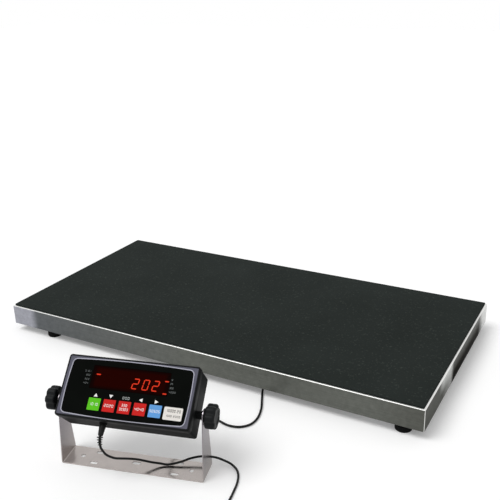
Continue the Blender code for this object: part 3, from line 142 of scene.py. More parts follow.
def add_node(tree, kind, inputs=None, stops=(), **settings):
    """A node of that kind. Settings are its own properties, inputs are values or sockets to link, and stops
    are the places and hex colours of a colour ramp."""
    node = tree.nodes.new(kind)
    for key, value in settings.items():
        setattr(node, key, value)
    for key, value in (inputs or {}).items():
        if isinstance(value, bpy.types.NodeSocket):
            tree.links.new(value, node.inputs[key])
        else:
            node.inputs[key].default_value = value
    for end, (at, colour) in enumerate(stops[:1] + stops[-1:]):
        node.color_ramp.elements[end].position = at
        node.color_ramp.elements[end].color = linear(colour)
    for at, colour in stops[1:-1]:
        node.color_ramp.elements.new(at).color = linear(colour)
    return node


def open_finish(name):
    """A new material, its tree and its Object coordinates."""
    made = bpy.data.materials.new(name)
    made.use_nodes = True
    made.node_tree.nodes.clear()
    return made, made.node_tree, add_node(made.node_tree, "ShaderNodeTexCoord").outputs["Object"]


def close_finish(tree, inputs):
    """Ends a material in one Principled shader with these inputs."""
    shader = add_node(tree, "ShaderNodeBsdfPrincipled", inputs)
    add_node(tree, "ShaderNodeOutputMaterial", {"Surface": shader.outputs[0]})


print("material helpers ready")

# %% [markdown]
# The floor and light are a plain studio: a pale floor, a soft sky all round and one broad, soft sun, which
# lights the whole floor evenly. They are set so that a colour renders about as it is written. The floor and
# sky are pure white only to the camera and in reflections, and the floor still takes the object's shadow.

# %% Floor, sky and sun
FLOOR_REACH, FLOOR_TONE, FLOOR_LIFT = 9, 0.86, 0.19
SKY_LIGHT, SUN_LIGHT, SUN_WIDTH, SUN_WAY = 0.56, 1.6, math.radians(34), Vector((0.52, 0.62, -1.45))
WHITE = (1, 1, 1, 1)


def seen_direct(tree):
    """1 for what the camera sees by itself, in a mirror or through glass, and 0 for light on the object."""
    ray = add_node(tree, "ShaderNodeLightPath").outputs
    seen = ray["Is Camera Ray"]
    for kind in ("Is Glossy Ray", "Is Transmission Ray"):
        seen = add_node(tree, "ShaderNodeMath", {0: seen, 1: ray[kind]}, operation="MAXIMUM").outputs[0]
    return seen


ground = bpy.data.meshes.new("floor")
corners = [(x * FLOOR_REACH, y * FLOOR_REACH, 0) for x, y in ((-1, -1), (1, -1), (1, 1), (-1, 1))]
ground.from_pydata(corners, [], [(0, 1, 2, 3)])
placed("floor", ground)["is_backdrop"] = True

# Matt white floor: it only scatters light, and a little glow lifts it to white where it is seen.
floor_finish, tree, _ = open_finish("matt white studio floor")
lift = add_node(tree, "ShaderNodeMath", {0: seen_direct(tree), 1: FLOOR_LIFT}, operation="MULTIPLY")
matt = add_node(tree, "ShaderNodeBsdfDiffuse", {"Color": (FLOOR_TONE, FLOOR_TONE, FLOOR_TONE, 1)})
glow = add_node(tree, "ShaderNodeEmission", {"Color": WHITE, "Strength": lift.outputs[0]})
both = add_node(tree, "ShaderNodeAddShader", {0: matt.outputs[0], 1: glow.outputs[0]})
add_node(tree, "ShaderNodeOutputMaterial", {"Surface": both.outputs[0]})
ground.materials.append(floor_finish)

sky = bpy.data.worlds.new("studio")
sky.use_nodes = True
tree = sky.node_tree
tree.nodes.clear()
strength = add_node(tree, "ShaderNodeMix", {0: seen_direct(tree), 2: SKY_LIGHT, 3: 1.0}, data_type="FLOAT")
back = add_node(tree, "ShaderNodeBackground", {"Color": WHITE, "Strength": strength.outputs[0]})
add_node(tree, "ShaderNodeOutputWorld", {"Surface": back.outputs[0]})
bpy.context.scene.world = sky
bpy.context.scene.view_settings.view_transform = "Standard"

lamp = bpy.data.lights.new("soft_sun", "SUN")
lamp.energy, lamp.angle = SUN_LIGHT, SUN_WIDTH
placed("soft_sun", lamp).rotation_euler = SUN_WAY.to_track_quat("-Z", "Y").to_euler()
print("studio ready")

# %% [markdown]
# The cords come first, because their real length has to be right before anything else is dressed. Each one
# is a smooth curve through the same points as in the CAD source, wound up at its end into a two-layer coil.
# The curve bends with no kinks, and it is sampled finely enough for a smooth tube.

# %% Route helpers
# a coil's middle turn is 11 diameters across, and its turns lie 1.28 diameters apart
COIL_RADIUS, COIL_STEP = 5.5, 1.28


def smooth_route(points, spacing):
    """Evenly spaced points on a smooth curve through the route's own points."""
    points = [Vector(p) for p in points]
    last = len(points) - 1
    tangents = [(points[min(i + 1, last)] - points[max(i - 1, 0)]).normalized() for i in range(last + 1)]
    fine = []
    for a, b, ta, tb in zip(points, points[1:], tangents, tangents[1:]):
        reach = (b - a).length
        for k in range(40):
            t = k / 40
            h = (2 * t**3 - 3 * t**2 + 1, t**3 - 2 * t**2 + t, -2 * t**3 + 3 * t**2, t**3 - t**2)
            fine.append(a * h[0] + ta * (reach * h[1]) + b * h[2] + tb * (reach * h[3]))
    fine.append(points[-1])
    return even_points(fine, spacing)


def path_length(points):
    return sum((b - a).length for a, b in zip(points, points[1:]))


def even_points(points, spacing):
    """The same line, in steps of one length."""
    total = path_length(points)
    count = max(2, round(total / spacing))
    even, done, target = [points[0]], 0.0, total / count
    for a, b in zip(points, points[1:]):
        step = (b - a).length
        while step > 0 and done + step >= target - 1e-9 and len(even) < count:
            even.append(a.lerp(b, (target - done) / step))
            target += total / count
        done += step
    even.append(points[-1])
    return even


def coil_reach(diameter, turns):
    """The radius of a coil's outermost turn."""
    return diameter * (COIL_RADIUS + COIL_STEP * (turns - 0.5) / 4)


def coil_path(centre, diameter, turns, start_angle):
    """A coil in two layers: in on the floor, up in half a turn and out again. Gives points and end ways."""
    pitch, layer_turns = COIL_STEP * diameter, (turns - 0.5) / 2
    outer = coil_reach(diameter, turns)
    inner = outer - pitch * layer_turns
    low = diameter / 2 + GAP
    steps = round(turns * 48)
    points = []
    for i in range(steps + 1):
        turn = turns * i / steps
        climb = min(max((turn - layer_turns) / 0.5, 0.0), 1.0)
        if turn < layer_turns:
            radius = outer - pitch * turn
        else:
            radius = inner + pitch * max(turn - layer_turns - 0.5, 0.0)
        angle = start_angle + math.tau * turn
        height = low + pitch * (3 * climb**2 - 2 * climb**3)
        x, y = centre.x + radius * math.cos(angle), centre.y + radius * math.sin(angle)
        points.append(Vector((x, y, height)))
    end_angle = start_angle + math.tau * turns
    way_in = Vector((-math.sin(start_angle), math.cos(start_angle), 0))
    way_out = Vector((-math.sin(end_angle), math.cos(end_angle), 0))
    return [points[0] - way_in * diameter, *points, points[-1] + way_out * diameter], way_in, way_out


def stretch(start, start_way, route, end, end_way, diameter):
    """A free stretch between two faces, straight for one diameter at each end."""
    first, last = start + start_way * GAP, end - end_way * GAP
    middle = smooth_route([first + start_way * diameter, *route, last - end_way * diameter], 0.5 * diameter)
    return [first, *middle, last]


print("route helpers ready")

# %% [markdown]
# The plug's relief bends to the right and backwards out of the head's underside, so the lead leaves it at an
# angle. The spine function gives a point and a direction at any distance down the plug; the lead starts at
# its end, lies over the bracket, runs to its coil and ends in the wall adaptor.

# %% The DC lead's line
DC_LEAD, DC_TURNS, DC_COIL_X, DC_COIL_Y = 4.4 * MM, 6.25, 0.235, -0.130
PLUG_AT = Vector((-41.8, -11, -40.8)) * MM
PLUG_LENGTH, RELIEF_LENGTH, RELIEF_BEND = 20.5 * MM, 17.2 * MM, 29 * MM
RELIEF_ASIDE = Vector((math.cos(math.radians(58)), math.sin(math.radians(58)), 0))
ADAPTOR_X, ADAPTOR_Y, ADAPTOR_Z = 304.0, DC_COIL_Y - coil_reach(DC_LEAD, DC_TURNS), 15.3 * MM
DC_ROUTE = [
    (-34.0, -62.7, 67.7), (-30.9, -61.1, 61.6), (-26.9, -57.7, 55.6), (-19.1, -48.9, 45.7),
    (-12.6, -40.3, 39.8), (-2.1, -27.8, 31.8), (9.6, -17.2, 24.3), (21.5, -9.7, 17.4),
    (34.0, -4.0, 11.7), (48.0, 1.8, 7.0), (61.5, 4.2, 4.9), (85.0, 12.5, 8.5),
    (102.0, 21.5, 12.5), (122.5, 29.0, 15.0), (148.0, 32.5, 14.0), (164.0, 32.5, 10.0),
    (181.0, 29.0, 5.5), (196.0, 15.0, 2.9), (203.5, -12.0, 2.5), (203.5, -50.0, 2.5),
    (201.2, -85.0, 2.5),
]


def plug_spine(s):
    """The plug's axis in the head's frame: straight down its body, then bending aside."""
    if s <= PLUG_LENGTH:
        return PLUG_AT + Vector((0, 0, -s)), Vector((0, 0, -1))
    turn = (s - PLUG_LENGTH) / RELIEF_BEND
    down = PLUG_LENGTH + RELIEF_BEND * math.sin(turn)
    across = RELIEF_BEND * (1 - math.cos(turn))
    way = RELIEF_ASIDE * math.sin(turn) - Vector((0, 0, math.cos(turn)))
    return PLUG_AT + RELIEF_ASIDE * across - Vector((0, 0, down)), way


tip, tip_way = plug_spine(PLUG_LENGTH + RELIEF_LENGTH)
dc_start, dc_way = HEAD @ tip, (HEAD.to_3x3() @ tip_way).normalized()
dc_route = [STAND @ (Vector(p) * MM) for p in DC_ROUTE]
dc_coil_at = STAND @ Vector((DC_COIL_X, DC_COIL_Y, 0))
dc_coil, dc_in, dc_out = coil_path(dc_coil_at, DC_LEAD, DC_TURNS, math.pi + yaw)
adaptor_tip = STAND @ Vector((ADAPTOR_X * MM, ADAPTOR_Y, ADAPTOR_Z))
dc_lead_line = stretch(dc_start, dc_way, dc_route, dc_coil[0], dc_in, DC_LEAD)
dc_halfway = dc_coil[-1].lerp(adaptor_tip, 0.5)
dc_tail_line = stretch(dc_coil[-1], dc_out, [dc_halfway], adaptor_tip, dc_out, DC_LEAD)
# the lead runs on through the adaptor's relief to the joints inside its case
dc_inside = adaptor_tip + (STAND.to_3x3() @ Vector((1, 0, 0))) * 32 * MM
dc_line = even_points(dc_lead_line + dc_coil + dc_tail_line + [dc_inside], 0.5 * DC_LEAD)
print("DC lead:", round(path_length(dc_line), 3), "m")

# %% [markdown]
# The load cable leaves the gland on the head's back, lies in loose curves on the floor and passes under the
# platform. Its spare length is coiled there, and its end rises to the gland of the junction box.

# %% The load cable's line
LOAD_CABLE, LOAD_TURNS, LOAD_COIL_AT = 5 * MM, 7 - yaw / math.tau, Vector((0.122, -0.167, 0))
GLAND_X, GLAND_BACK, GLAND_Z, GLAND_LENGTH = 45 * MM, 30.6 * MM, -12 * MM, 18 * MM
LOAD_ROUTE = [
    (45.5, 40.0, 66.0), (46.5, 62.0, 44.0), (48.0, 89.0, 23.0), (51.0, 117.0, 9.5),
    (57.5, 143.0, 4.0), (69.0, 163.0, 2.9), (88.0, 174.0, 2.8), (111.0, 169.0, 2.8),
    (133.0, 157.0, 2.8), (148.0, 153.0, 2.8), (166.0, 154.5, 2.8), (184.0, 168.0, 2.8),
    (192.5, 193.0, 2.8), (192.0, 228.0, 2.8), (185.0, 265.0, 2.8), (178.0, 305.0, 2.8),
    (176.5, 350.0, 2.8),
]
LOAD_RISE = [(161, -148, 9.5), (158, -124, 18), (151, -100, 33), (146, -80, 45.5)]

gland_tip = HEAD @ Vector((GLAND_X, GLAND_BACK + GLAND_LENGTH, GLAND_Z))
gland_way = (HEAD.to_3x3() @ Vector((0, 1, 0))).normalized()
outlet_low, outlet_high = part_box("outlet_gland")
outlet_x, outlet_z = (outlet_low.x + outlet_high.x) / 2, (outlet_low.z + outlet_high.z) / 2
outlet_tip = Vector((outlet_x, outlet_low.y, outlet_z))
load_coil, load_in, load_out = coil_path(PLATFORM @ LOAD_COIL_AT, LOAD_CABLE, LOAD_TURNS, yaw)
load_route = [STAND @ (Vector(p) * MM) for p in LOAD_ROUTE]
load_rise = [PLATFORM @ (Vector(p) * MM) for p in LOAD_RISE]
load_line = even_points(
    stretch(gland_tip, gland_way, load_route, load_coil[0], load_in, LOAD_CABLE)
    + load_coil
    + stretch(load_coil[-1], load_out, load_rise, outlet_tip, Vector((0, 1, 0)), LOAD_CABLE),
    0.5 * LOAD_CABLE,
)
print("load cable:", round(path_length(load_line), 3), "m")

# %% [markdown]
# A cord is a tube: one ring of points at each step, carried along without twisting. Its own UV map runs round
# the tube and along it, so that the fine drawing lines of an extruded sheath can follow the cord.

# %% The tube and the sheath's finish
def tube(points, radius, sides=14):
    """A closed round tube along points. U runs round it, V along it in metres."""
    bm = bmesh.new()
    uv = bm.loops.layers.uv.new("UVMap")
    side = (points[1] - points[0]).orthogonal().normalized()
    turns = [math.tau * k / sides for k in range(sides)]
    rings, travelled = [], [0.0]
    for i, point in enumerate(points):
        way = (points[min(i + 1, len(points) - 1)] - points[max(i - 1, 0)]).normalized()
        side = (side - way * side.dot(way)).normalized()
        other = way.cross(side)
        around = [side * math.cos(t) + other * math.sin(t) for t in turns]
        rings.append([bm.verts.new(point + radius * out) for out in around])
        if i:
            travelled.append(travelled[-1] + (point - points[i - 1]).length)
    for i in range(len(rings) - 1):
        for k in range(sides):
            j = (k + 1) % sides
            face = bm.faces.new((rings[i][k], rings[i][j], rings[i + 1][j], rings[i + 1][k]))
            for loop, (u, v) in zip(face.loops, ((k, i), (k + 1, i), (k + 1, i + 1), (k, i + 1))):
                loop[uv].uv = (u / sides, travelled[v])
    bm.faces.new(reversed(rings[0]))
    bm.faces.new(rings[-1])
    return bm


def shown(name, bm, finishes, sharp=35.0):
    """A mesh object in the row frame, smooth except along its sharp edges."""
    mesh = bpy.data.meshes.new(name)
    bm.to_mesh(mesh)
    bm.free()
    for finish in finishes if isinstance(finishes, (list, tuple)) else [finishes]:
        mesh.materials.append(finish)
    mesh.shade_smooth()
    mesh.set_sharp_from_angle(angle=math.radians(sharp))
    return placed(name, mesh)


# Extruded PVC sheath: satin black, with faint lengthwise drawing lines that stretch any highlight. The UV
# map puts 26 lines round the cord, and its dust lies in patches of about 6 mm.
sheath, tree, place = open_finish("extruded PVC sheath")
wrap = add_node(tree, "ShaderNodeUVMap", uv_map="UVMap").outputs[0]
lines = add_node(tree, "ShaderNodeMapping", {"Vector": wrap, "Scale": (26, 3, 1)})
lines = add_node(tree, "ShaderNodeTexNoise", {"Vector": lines.outputs[0], "Scale": 1.0, "Detail": 2.0})
dust = add_node(tree, "ShaderNodeTexNoise", {"Vector": place, "Scale": 160.0, "Detail": 3.0}).outputs["Fac"]
rough = add_node(tree, "ShaderNodeMapRange", {0: dust, 3: 0.34, 4: 0.52})
tone = add_node(tree, "ShaderNodeMix", {0: dust, 6: linear("090A0A"), 7: linear("151616")}, data_type="RGBA")
bump = add_node(tree, "ShaderNodeBump", {
    "Height": lines.outputs["Fac"], "Strength": 0.25, "Distance": 0.0002,
})
close_finish(tree, {
    "Base Color": tone.outputs[2], "Roughness": rough.outputs[0], "Normal": bump.outputs[0],
    "Specular IOR Level": 0.18,
})
print("sheath finish ready")

# %% [markdown]
# Each cord crosses the tilt joint and sags from its exit to the floor or the bracket. Here it is one tube
# that does not move, and the CAD pieces it stands for are hidden.

# %% The two cords
dc_cord = shown("dc_cord", tube(dc_line, DC_LEAD / 2), sheath)
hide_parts("dc_lead", "dc_lead_coil", "dc_lead_tail")
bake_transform(dc_cord)
load_cord = shown("load_cord", tube(load_line, LOAD_CABLE / 2), sheath)
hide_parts("load_cable", "load_cable_coil", "load_cable_tail")
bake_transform(load_cord)
print("cord faces:", len(dc_cord.data.polygons) + len(load_cord.data.polygons))

# %% [markdown]
# Everything that is rigid starts from simple outlines: a rounded rectangle, a circle or a slot. A loft joins
# outlines into a closed skin. Pieces are drawn in the head's or the stand's own frame and then carried to
# their place, so each finished object sits at the origin with its place in its mesh.

# %% Shape helpers
def rounded_rectangle(width, height, radius, steps=6, centre=(0, 0)):
    """Outline of a rounded rectangle, anticlockwise from its right side."""
    points = []
    for cx, cy, start in ((1, 1, 0), (-1, 1, 90), (-1, -1, 180), (1, -1, 270)):
        for k in range(steps + 1):
            turn = math.radians(start + 90 * k / steps)
            x = cx * (width / 2 - radius) + radius * math.cos(turn)
            y = cy * (height / 2 - radius) + radius * math.sin(turn)
            points.append((centre[0] + x, centre[1] + y))
    return points


def circle(radius, sides=32, centre=(0, 0)):
    turns = [math.tau * k / sides for k in range(sides)]
    return [(centre[0] + radius * math.cos(t), centre[1] + radius * math.sin(t)) for t in turns]


def lay(outline, axis, offset):
    """A flat outline as 3-D points across an axis: (x, z) across Y, (y, z) across X, (x, y) across Z."""
    if axis == "Y":
        return [Vector((a, offset, b)) for a, b in outline]
    if axis == "X":
        return [Vector((offset, a, b)) for a, b in outline]
    return [Vector((a, b, offset)) for a, b in outline]


def loft(loops, bm=None, bands=None):
    """A closed skin through loops with equally many points. Bands gives the finish number of each step."""
    bm = bm or bmesh.new()
    rows = [[bm.verts.new(p) for p in loop] for loop in loops]
    count = len(rows[0])
    faces = []
    for step, (a, b) in enumerate(zip(rows, rows[1:])):
        for k in range(count):
            j = (k + 1) % count
            faces.append(bm.faces.new((a[k], a[j], b[j], b[k])))
            if bands:
                faces[-1].material_index = bands[step]
    faces += [bm.faces.new(rows[0]), bm.faces.new(rows[-1])]
    if bands:
        faces[-2].material_index, faces[-1].material_index = bands[0], bands[-1]
    bmesh.ops.recalc_face_normals(bm, faces=faces)
    return bm


def plate(bm, outline, front, back):
    """A flat prism across Y, added to bm."""
    return loft([lay(outline, "Y", front), lay(outline, "Y", back)], bm)


def turned(profile, axis, centre, sides, start=0.0, way=1):
    """A body of rings. Its profile is (radius, distance from start) in mm, going either way of the axis."""
    return loft([lay(circle(r * MM, sides, centre), axis, start + way * d * MM) for r, d in profile])


def settled(piece, body, *replaced, slot=None):
    """The piece rides on a body and stands for these CAD nodes. The slot argument is not used."""
    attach(piece, body)
    if replaced:
        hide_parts(*replaced)
    return piece


def fitted(name, bm, finish, at, body, *replaced, slot=None, sharp=35.0):
    """A shape carried to its place as a finished piece."""
    if at:
        bm.transform(at)
    return settled(shown(name, bm, finish, sharp), body, *replaced, slot=slot)


print("shape helpers ready")

# %% [markdown]
# Many CAD parts already have the right shape, but their edges are perfectly sharp, which real parts never
# are. Refining one means merging a copy of its loose triangles, joining them into flat faces and rounding
# the edges with a Bevel modifier, whose result becomes the finished mesh.

# %% Refine a CAD part
def evaluated_mesh(piece):
    """The shape of an object with its modifiers applied, as a plain mesh."""
    bpy.context.view_layer.update()
    return bpy.data.meshes.new_from_object(piece.evaluated_get(bpy.context.evaluated_depsgraph_get()))


def refined(node, finish, edge, slot, body="base", segments=2):
    """A copy of a CAD node with rounded edges, standing for it."""
    bm = bmesh.new()
    bm.from_mesh(nodes[node].data)
    bmesh.ops.remove_doubles(bm, verts=bm.verts, dist=1e-5)
    bmesh.ops.dissolve_limit(bm, angle_limit=math.radians(0.4), verts=bm.verts, edges=bm.edges)
    bmesh.ops.recalc_face_normals(bm, faces=bm.faces)
    rough_cut = shown("rough_cut", bm, finish)
    bevel = rough_cut.modifiers.new("edges", "BEVEL")
    bevel.width, bevel.segments, bevel.limit_method = edge, segments, "ANGLE"
    bevel.angle_limit = math.radians(25)
    bevel.harden_normals = True
    mesh = evaluated_mesh(rough_cut)
    mesh.name = f"{node}_finished"
    bpy.data.objects.remove(rough_cut)
    return settled(placed(f"{node}_finished", mesh), body, node, slot=slot)


print("refining ready")

# %% [markdown]
# The mat is a calendered rubber sheet with a fine grain: nearly black with a hint of green, matt, with pale
# specks of talc in the grain. Three noises of different size make it: one for the grain that shows as bump,
# one for slow clouds and one whose peaks are the specks.

# %% Rubber finish
# Calendered rubber: matt, so it shows its own tone and hardly any highlight. The grain is about 2 mm and the
# clouds 140 mm. The specks are drawn about 4 mm wide, because real talc grains are too fine to show.
rubber, tree, place = open_finish("calendered rubber sheet")
grain = add_node(tree, "ShaderNodeTexNoise", {
    "Vector": place, "Scale": 520.0, "Detail": 4.0, "Roughness": 0.65,
})
cloud = add_node(tree, "ShaderNodeTexNoise", {"Vector": place, "Scale": 7.0, "Detail": 3.0}).outputs["Fac"]
fleck = add_node(tree, "ShaderNodeTexNoise", {"Vector": place, "Scale": 210.0, "Detail": 2.0}).outputs["Fac"]
speck = add_node(tree, "ShaderNodeMapRange", {0: fleck, 1: 0.60, 2: 0.80, 3: 0.0, 4: 0.7}).outputs[0]
tone = add_node(tree, "ShaderNodeMix", {0: cloud, 6: linear("181D1B"), 7: linear("262B29")}, data_type="RGBA")
tone = add_node(tree, "ShaderNodeMix", {0: speck, 6: tone.outputs[2], 7: linear("444A45")}, data_type="RGBA")
bump = add_node(tree, "ShaderNodeBump", {"Height": grain.outputs["Fac"], "Strength": 0.5, "Distance": 0.0005})
close_finish(tree, {
    "Base Color": tone.outputs[2], "Roughness": 0.78, "Normal": bump.outputs[0], "Specular IOR Level": 0.06,
})
print("rubber finish ready")

# %% [markdown]
# The pan is folded from stainless sheet with a mill finish: drawn lines run round its skirt, slow clouds lie
# under them, and its folded edges carry a painted highlight. Such steel takes most of its look from what it
# mirrors, and a plain studio has little to mirror. So reflections are painted into the skirt's tone, which
# changes by place between a few named tones, with colour ramps along the front and along the right side. The
# dark stretch of that side is a painted reflection, darkest when it is seen from along the skirt. Part of its
# dark is therefore painted into the tint at a glance, so it is lighter from the side.

# %% Stainless finish
# painted reflections: the tones other than PLAIN stand for light and dark things that the skirt mirrors, and
# the glance tints paint the same into a grazing view
PLAIN, COOL, DIM, CLOUD, BRIGHT, UNLIT = "62645F", "9FA0A8", "555651", "B4B6B3", "C7C8C6", "3C3B37"
GLANCE, GLANCE_DARK, GLANCE_BRIGHT = "CECECE", "8C8C8C", "FFFFFF"
SOFT = 0.3 * MM

mill, tree, place = open_finish("mill-finished stainless steel")
x, y, z = add_node(tree, "ShaderNodeSeparateXYZ", {0: place}).outputs
along_x = add_node(tree, "ShaderNodeMapRange", {0: x, 1: deck_low.x, 2: deck_high.x}).outputs[0]
along_y = add_node(tree, "ShaderNodeMapRange", {0: y, 1: deck_low.y, 2: deck_high.y}).outputs[0]
rise = add_node(tree, "ShaderNodeMapRange", {
    0: z, 1: deck_high.z - 32 * MM, 2: deck_high.z - 6 * MM,
}).outputs[0]
# painted reflections: ramps of those tones along the front and along the right side, and on that side also by
# height
front_tone, side_low, side_high, glance_low, glance_high = (
    add_node(tree, "ShaderNodeValToRGB", {0: along}, stops=stops).outputs[0]
    for along, stops in (
        (along_x, [(0.0, COOL), (0.055, COOL), (0.075, "5F6264"), (0.5, PLAIN), (0.9, PLAIN), (1.0, DIM)]),
        (along_y, [(0.24, DIM), (0.36, "8E8F8C"), (0.4, UNLIT), (0.84, UNLIT), (0.93, BRIGHT)]),
        (along_y, [(0.19, DIM), (0.24, CLOUD), (0.36, CLOUD), (0.4, DIM), (0.84, PLAIN), (0.9, BRIGHT)]),
        (along_y, [(0.24, GLANCE), (0.36, GLANCE_BRIGHT), (0.4, GLANCE_DARK), (0.84, GLANCE_DARK),
                   (0.93, GLANCE_BRIGHT)]),
        (along_y, [(0.19, GLANCE), (0.24, GLANCE_BRIGHT), (0.36, GLANCE_BRIGHT), (0.4, GLANCE),
                   (0.84, GLANCE), (0.9, GLANCE_BRIGHT)]),
    )
)

# soft steps across four planes: the right side's sheet, its folded edge, the front's and the top's
y_forwards = add_node(tree, "ShaderNodeMath", {0: y, 1: -1.0}, operation="MULTIPLY").outputs[0]
on_side, side_edge, front_edge, top_edge = (
    add_node(tree, "ShaderNodeMapRange", {0: value, 1: limit - SOFT, 2: limit + SOFT}).outputs[0]
    for value, limit in (
        (x, deck_high.x - 1 * MM), (x, deck_high.x - 1.3 * MM), (y_forwards, -deck_low.y - 1.3 * MM),
        (z, deck_high.z - 1.1 * MM),
    )
)
corner = add_node(tree, "ShaderNodeMath", {0: side_edge, 1: front_edge}, operation="MINIMUM").outputs[0]
rim = add_node(tree, "ShaderNodeMath", {0: top_edge, 1: corner}, operation="MAXIMUM").outputs[0]

# the drawn lines are 0.7 mm apart, the mottle is about 10 mm wide and the clouds about 110 mm
drawn = add_node(tree, "ShaderNodeMapping", {"Vector": place, "Scale": (6, 6, 1400)})
drawn = add_node(tree, "ShaderNodeTexNoise", {"Vector": drawn.outputs[0], "Scale": 1.0, "Detail": 3.0})
cloud = add_node(tree, "ShaderNodeTexNoise", {
    "Vector": place, "Scale": 9.0, "Detail": 4.0, "Distortion": 0.6,
})
mottle = add_node(tree, "ShaderNodeTexNoise", {
    "Vector": place, "Scale": 95.0, "Detail": 4.0, "Roughness": 0.6,
})
streak = add_node(tree, "ShaderNodeMath", {
    0: drawn.outputs["Fac"], 1: mottle.outputs["Fac"],
}, operation="ADD")
streak = add_node(tree, "ShaderNodeMapRange", {0: streak.outputs[0], 1: 0.7, 2: 1.3, 3: 0.84, 4: 1.18})

tone = add_node(tree, "ShaderNodeMix", {0: rise, 6: side_low, 7: side_high}, data_type="RGBA").outputs[2]
tone = add_node(tree, "ShaderNodeMix", {0: on_side, 6: front_tone, 7: tone}, data_type="RGBA").outputs[2]
tone = add_node(tree, "ShaderNodeVectorMath", {
    0: tone, "Scale": streak.outputs[0],
}, operation="SCALE").outputs[0]
# painted highlight: the folded edges are mixed to a pale tone
tone = add_node(tree, "ShaderNodeMix", {0: rim, 6: tone, 7: linear("E6E6E4")}, data_type="RGBA").outputs[2]
# painted reflection in the tint at a glance, by place and by height
glance = add_node(tree, "ShaderNodeMix", {
    0: rise, 6: glance_low, 7: glance_high,
}, data_type="RGBA").outputs[2]
rough = add_node(tree, "ShaderNodeMapRange", {0: cloud.outputs["Fac"], 3: 0.34, 4: 0.46})
bump = add_node(tree, "ShaderNodeBump", {
    "Height": drawn.outputs["Fac"], "Strength": 0.12, "Distance": 0.0001,
})
close_finish(tree, {
    "Base Color": tone, "Metallic": 1.0, "Roughness": rough.outputs[0], "Normal": bump.outputs[0],
    "Specular Tint": glance,
})
print("stainless finish ready")

# %% Mat and pan
refined("rubber_mat", rubber, 0.6 * MM, "mat_rubber")
refined("deck_pan", mill, 1.0 * MM, "stainless", segments=3)
print("pan box:", [round(v, 3) for v in deck_high - deck_low])

# %% [markdown]
# Finishes of the parts under the deck and of the feet: welded steel tube with a pickled grey skin, machined
# aluminium cells, zinc-plated fasteners and black moulded rubber pads.

# %% Under-deck finishes
# Pickled steel: a dull grey skin in patches of about 45 mm, with fine pits that blur what it mirrors.
tube_steel, tree, place = open_finish("pickled steel tube")
skin = add_node(tree, "ShaderNodeTexNoise", {
    "Vector": place, "Scale": 22.0, "Detail": 5.0, "Distortion": 0.4,
})
skin = skin.outputs["Fac"]
pits = add_node(tree, "ShaderNodeTexNoise", {"Vector": place, "Scale": 900.0, "Detail": 2.0})
tone = add_node(tree, "ShaderNodeMix", {0: skin, 6: linear("707376"), 7: linear("94979A")}, data_type="RGBA")
rough = add_node(tree, "ShaderNodeMapRange", {0: skin, 3: 0.36, 4: 0.55})
bump = add_node(tree, "ShaderNodeBump", {"Height": pits.outputs["Fac"], "Strength": 0.15, "Distance": 0.0001})
close_finish(tree, {
    "Base Color": tone.outputs[2], "Metallic": 1.0, "Roughness": rough.outputs[0], "Normal": bump.outputs[0],
})

# Milled aluminium: pale, with the cutter's even marks about 2 mm apart.
milled, tree, place = open_finish("milled aluminium")
cutter = add_node(tree, "ShaderNodeTexWave", {
    "Vector": place, "Scale": 160.0, "Distortion": 0.4, "Detail": 1.0,
})
shift = add_node(tree, "ShaderNodeTexNoise", {"Vector": place, "Scale": 60.0, "Detail": 2.0}).outputs["Fac"]
tone = add_node(tree, "ShaderNodeMix", {0: shift, 6: linear("B2B4B6"), 7: linear("CACCCE")}, data_type="RGBA")
bump = add_node(tree, "ShaderNodeBump", {
    "Height": cutter.outputs["Fac"], "Strength": 0.08, "Distance": 0.0001,
})
close_finish(tree, {
    "Base Color": tone.outputs[2], "Metallic": 1.0, "Roughness": 0.36, "Normal": bump.outputs[0],
})


def bloomed(name, scale, detail, dark, light, clean, worn):
    """A smooth metal skin whose tone and gloss change together in small patches."""
    made, tree, place = open_finish(name)
    patch = add_node(tree, "ShaderNodeTexNoise", {
        "Vector": place, "Scale": scale, "Detail": detail,
    }).outputs["Fac"]
    tone = add_node(tree, "ShaderNodeMix", {0: patch, 6: linear(dark), 7: linear(light)}, data_type="RGBA")
    rough = add_node(tree, "ShaderNodeMapRange", {0: patch, 3: clean, 4: worn})
    close_finish(tree, {"Base Color": tone.outputs[2], "Metallic": 1.0, "Roughness": rough.outputs[0]})
    return made


# Bright zinc: a pale, slightly clouded mirror with a bloom of about 4 mm.
zinc = bloomed("bright zinc plating", 240.0, 4.0, "A6ABAE", "C9CCCB", 0.24, 0.42)

# Moulded rubber: deep black and dull, with scuffs of about 8 mm that catch a little light.
pad_rubber, tree, place = open_finish("moulded black rubber")
scuff = add_node(tree, "ShaderNodeTexNoise", {"Vector": place, "Scale": 130.0, "Detail": 5.0}).outputs["Fac"]
tone = add_node(tree, "ShaderNodeMix", {0: scuff, 6: linear("060707"), 7: linear("0E0F0F")}, data_type="RGBA")
rough = add_node(tree, "ShaderNodeMapRange", {0: scuff, 3: 0.55, 4: 0.8})
bump = add_node(tree, "ShaderNodeBump", {"Height": scuff, "Strength": 0.2, "Distance": 0.0003})
close_finish(tree, {
    "Base Color": tone.outputs[2], "Roughness": rough.outputs[0], "Normal": bump.outputs[0],
    "Specular IOR Level": 0.1,
})
print("under-deck finishes ready")

# %% [markdown]
# The frame, the four cells and their fasteners keep their CAD shapes with rounded edges. Each corner of the
# platform has the same set, so one loop dresses all four.

# %% Frame and corners
CORNERS = ("front_left", "front_right", "back_left", "back_right")

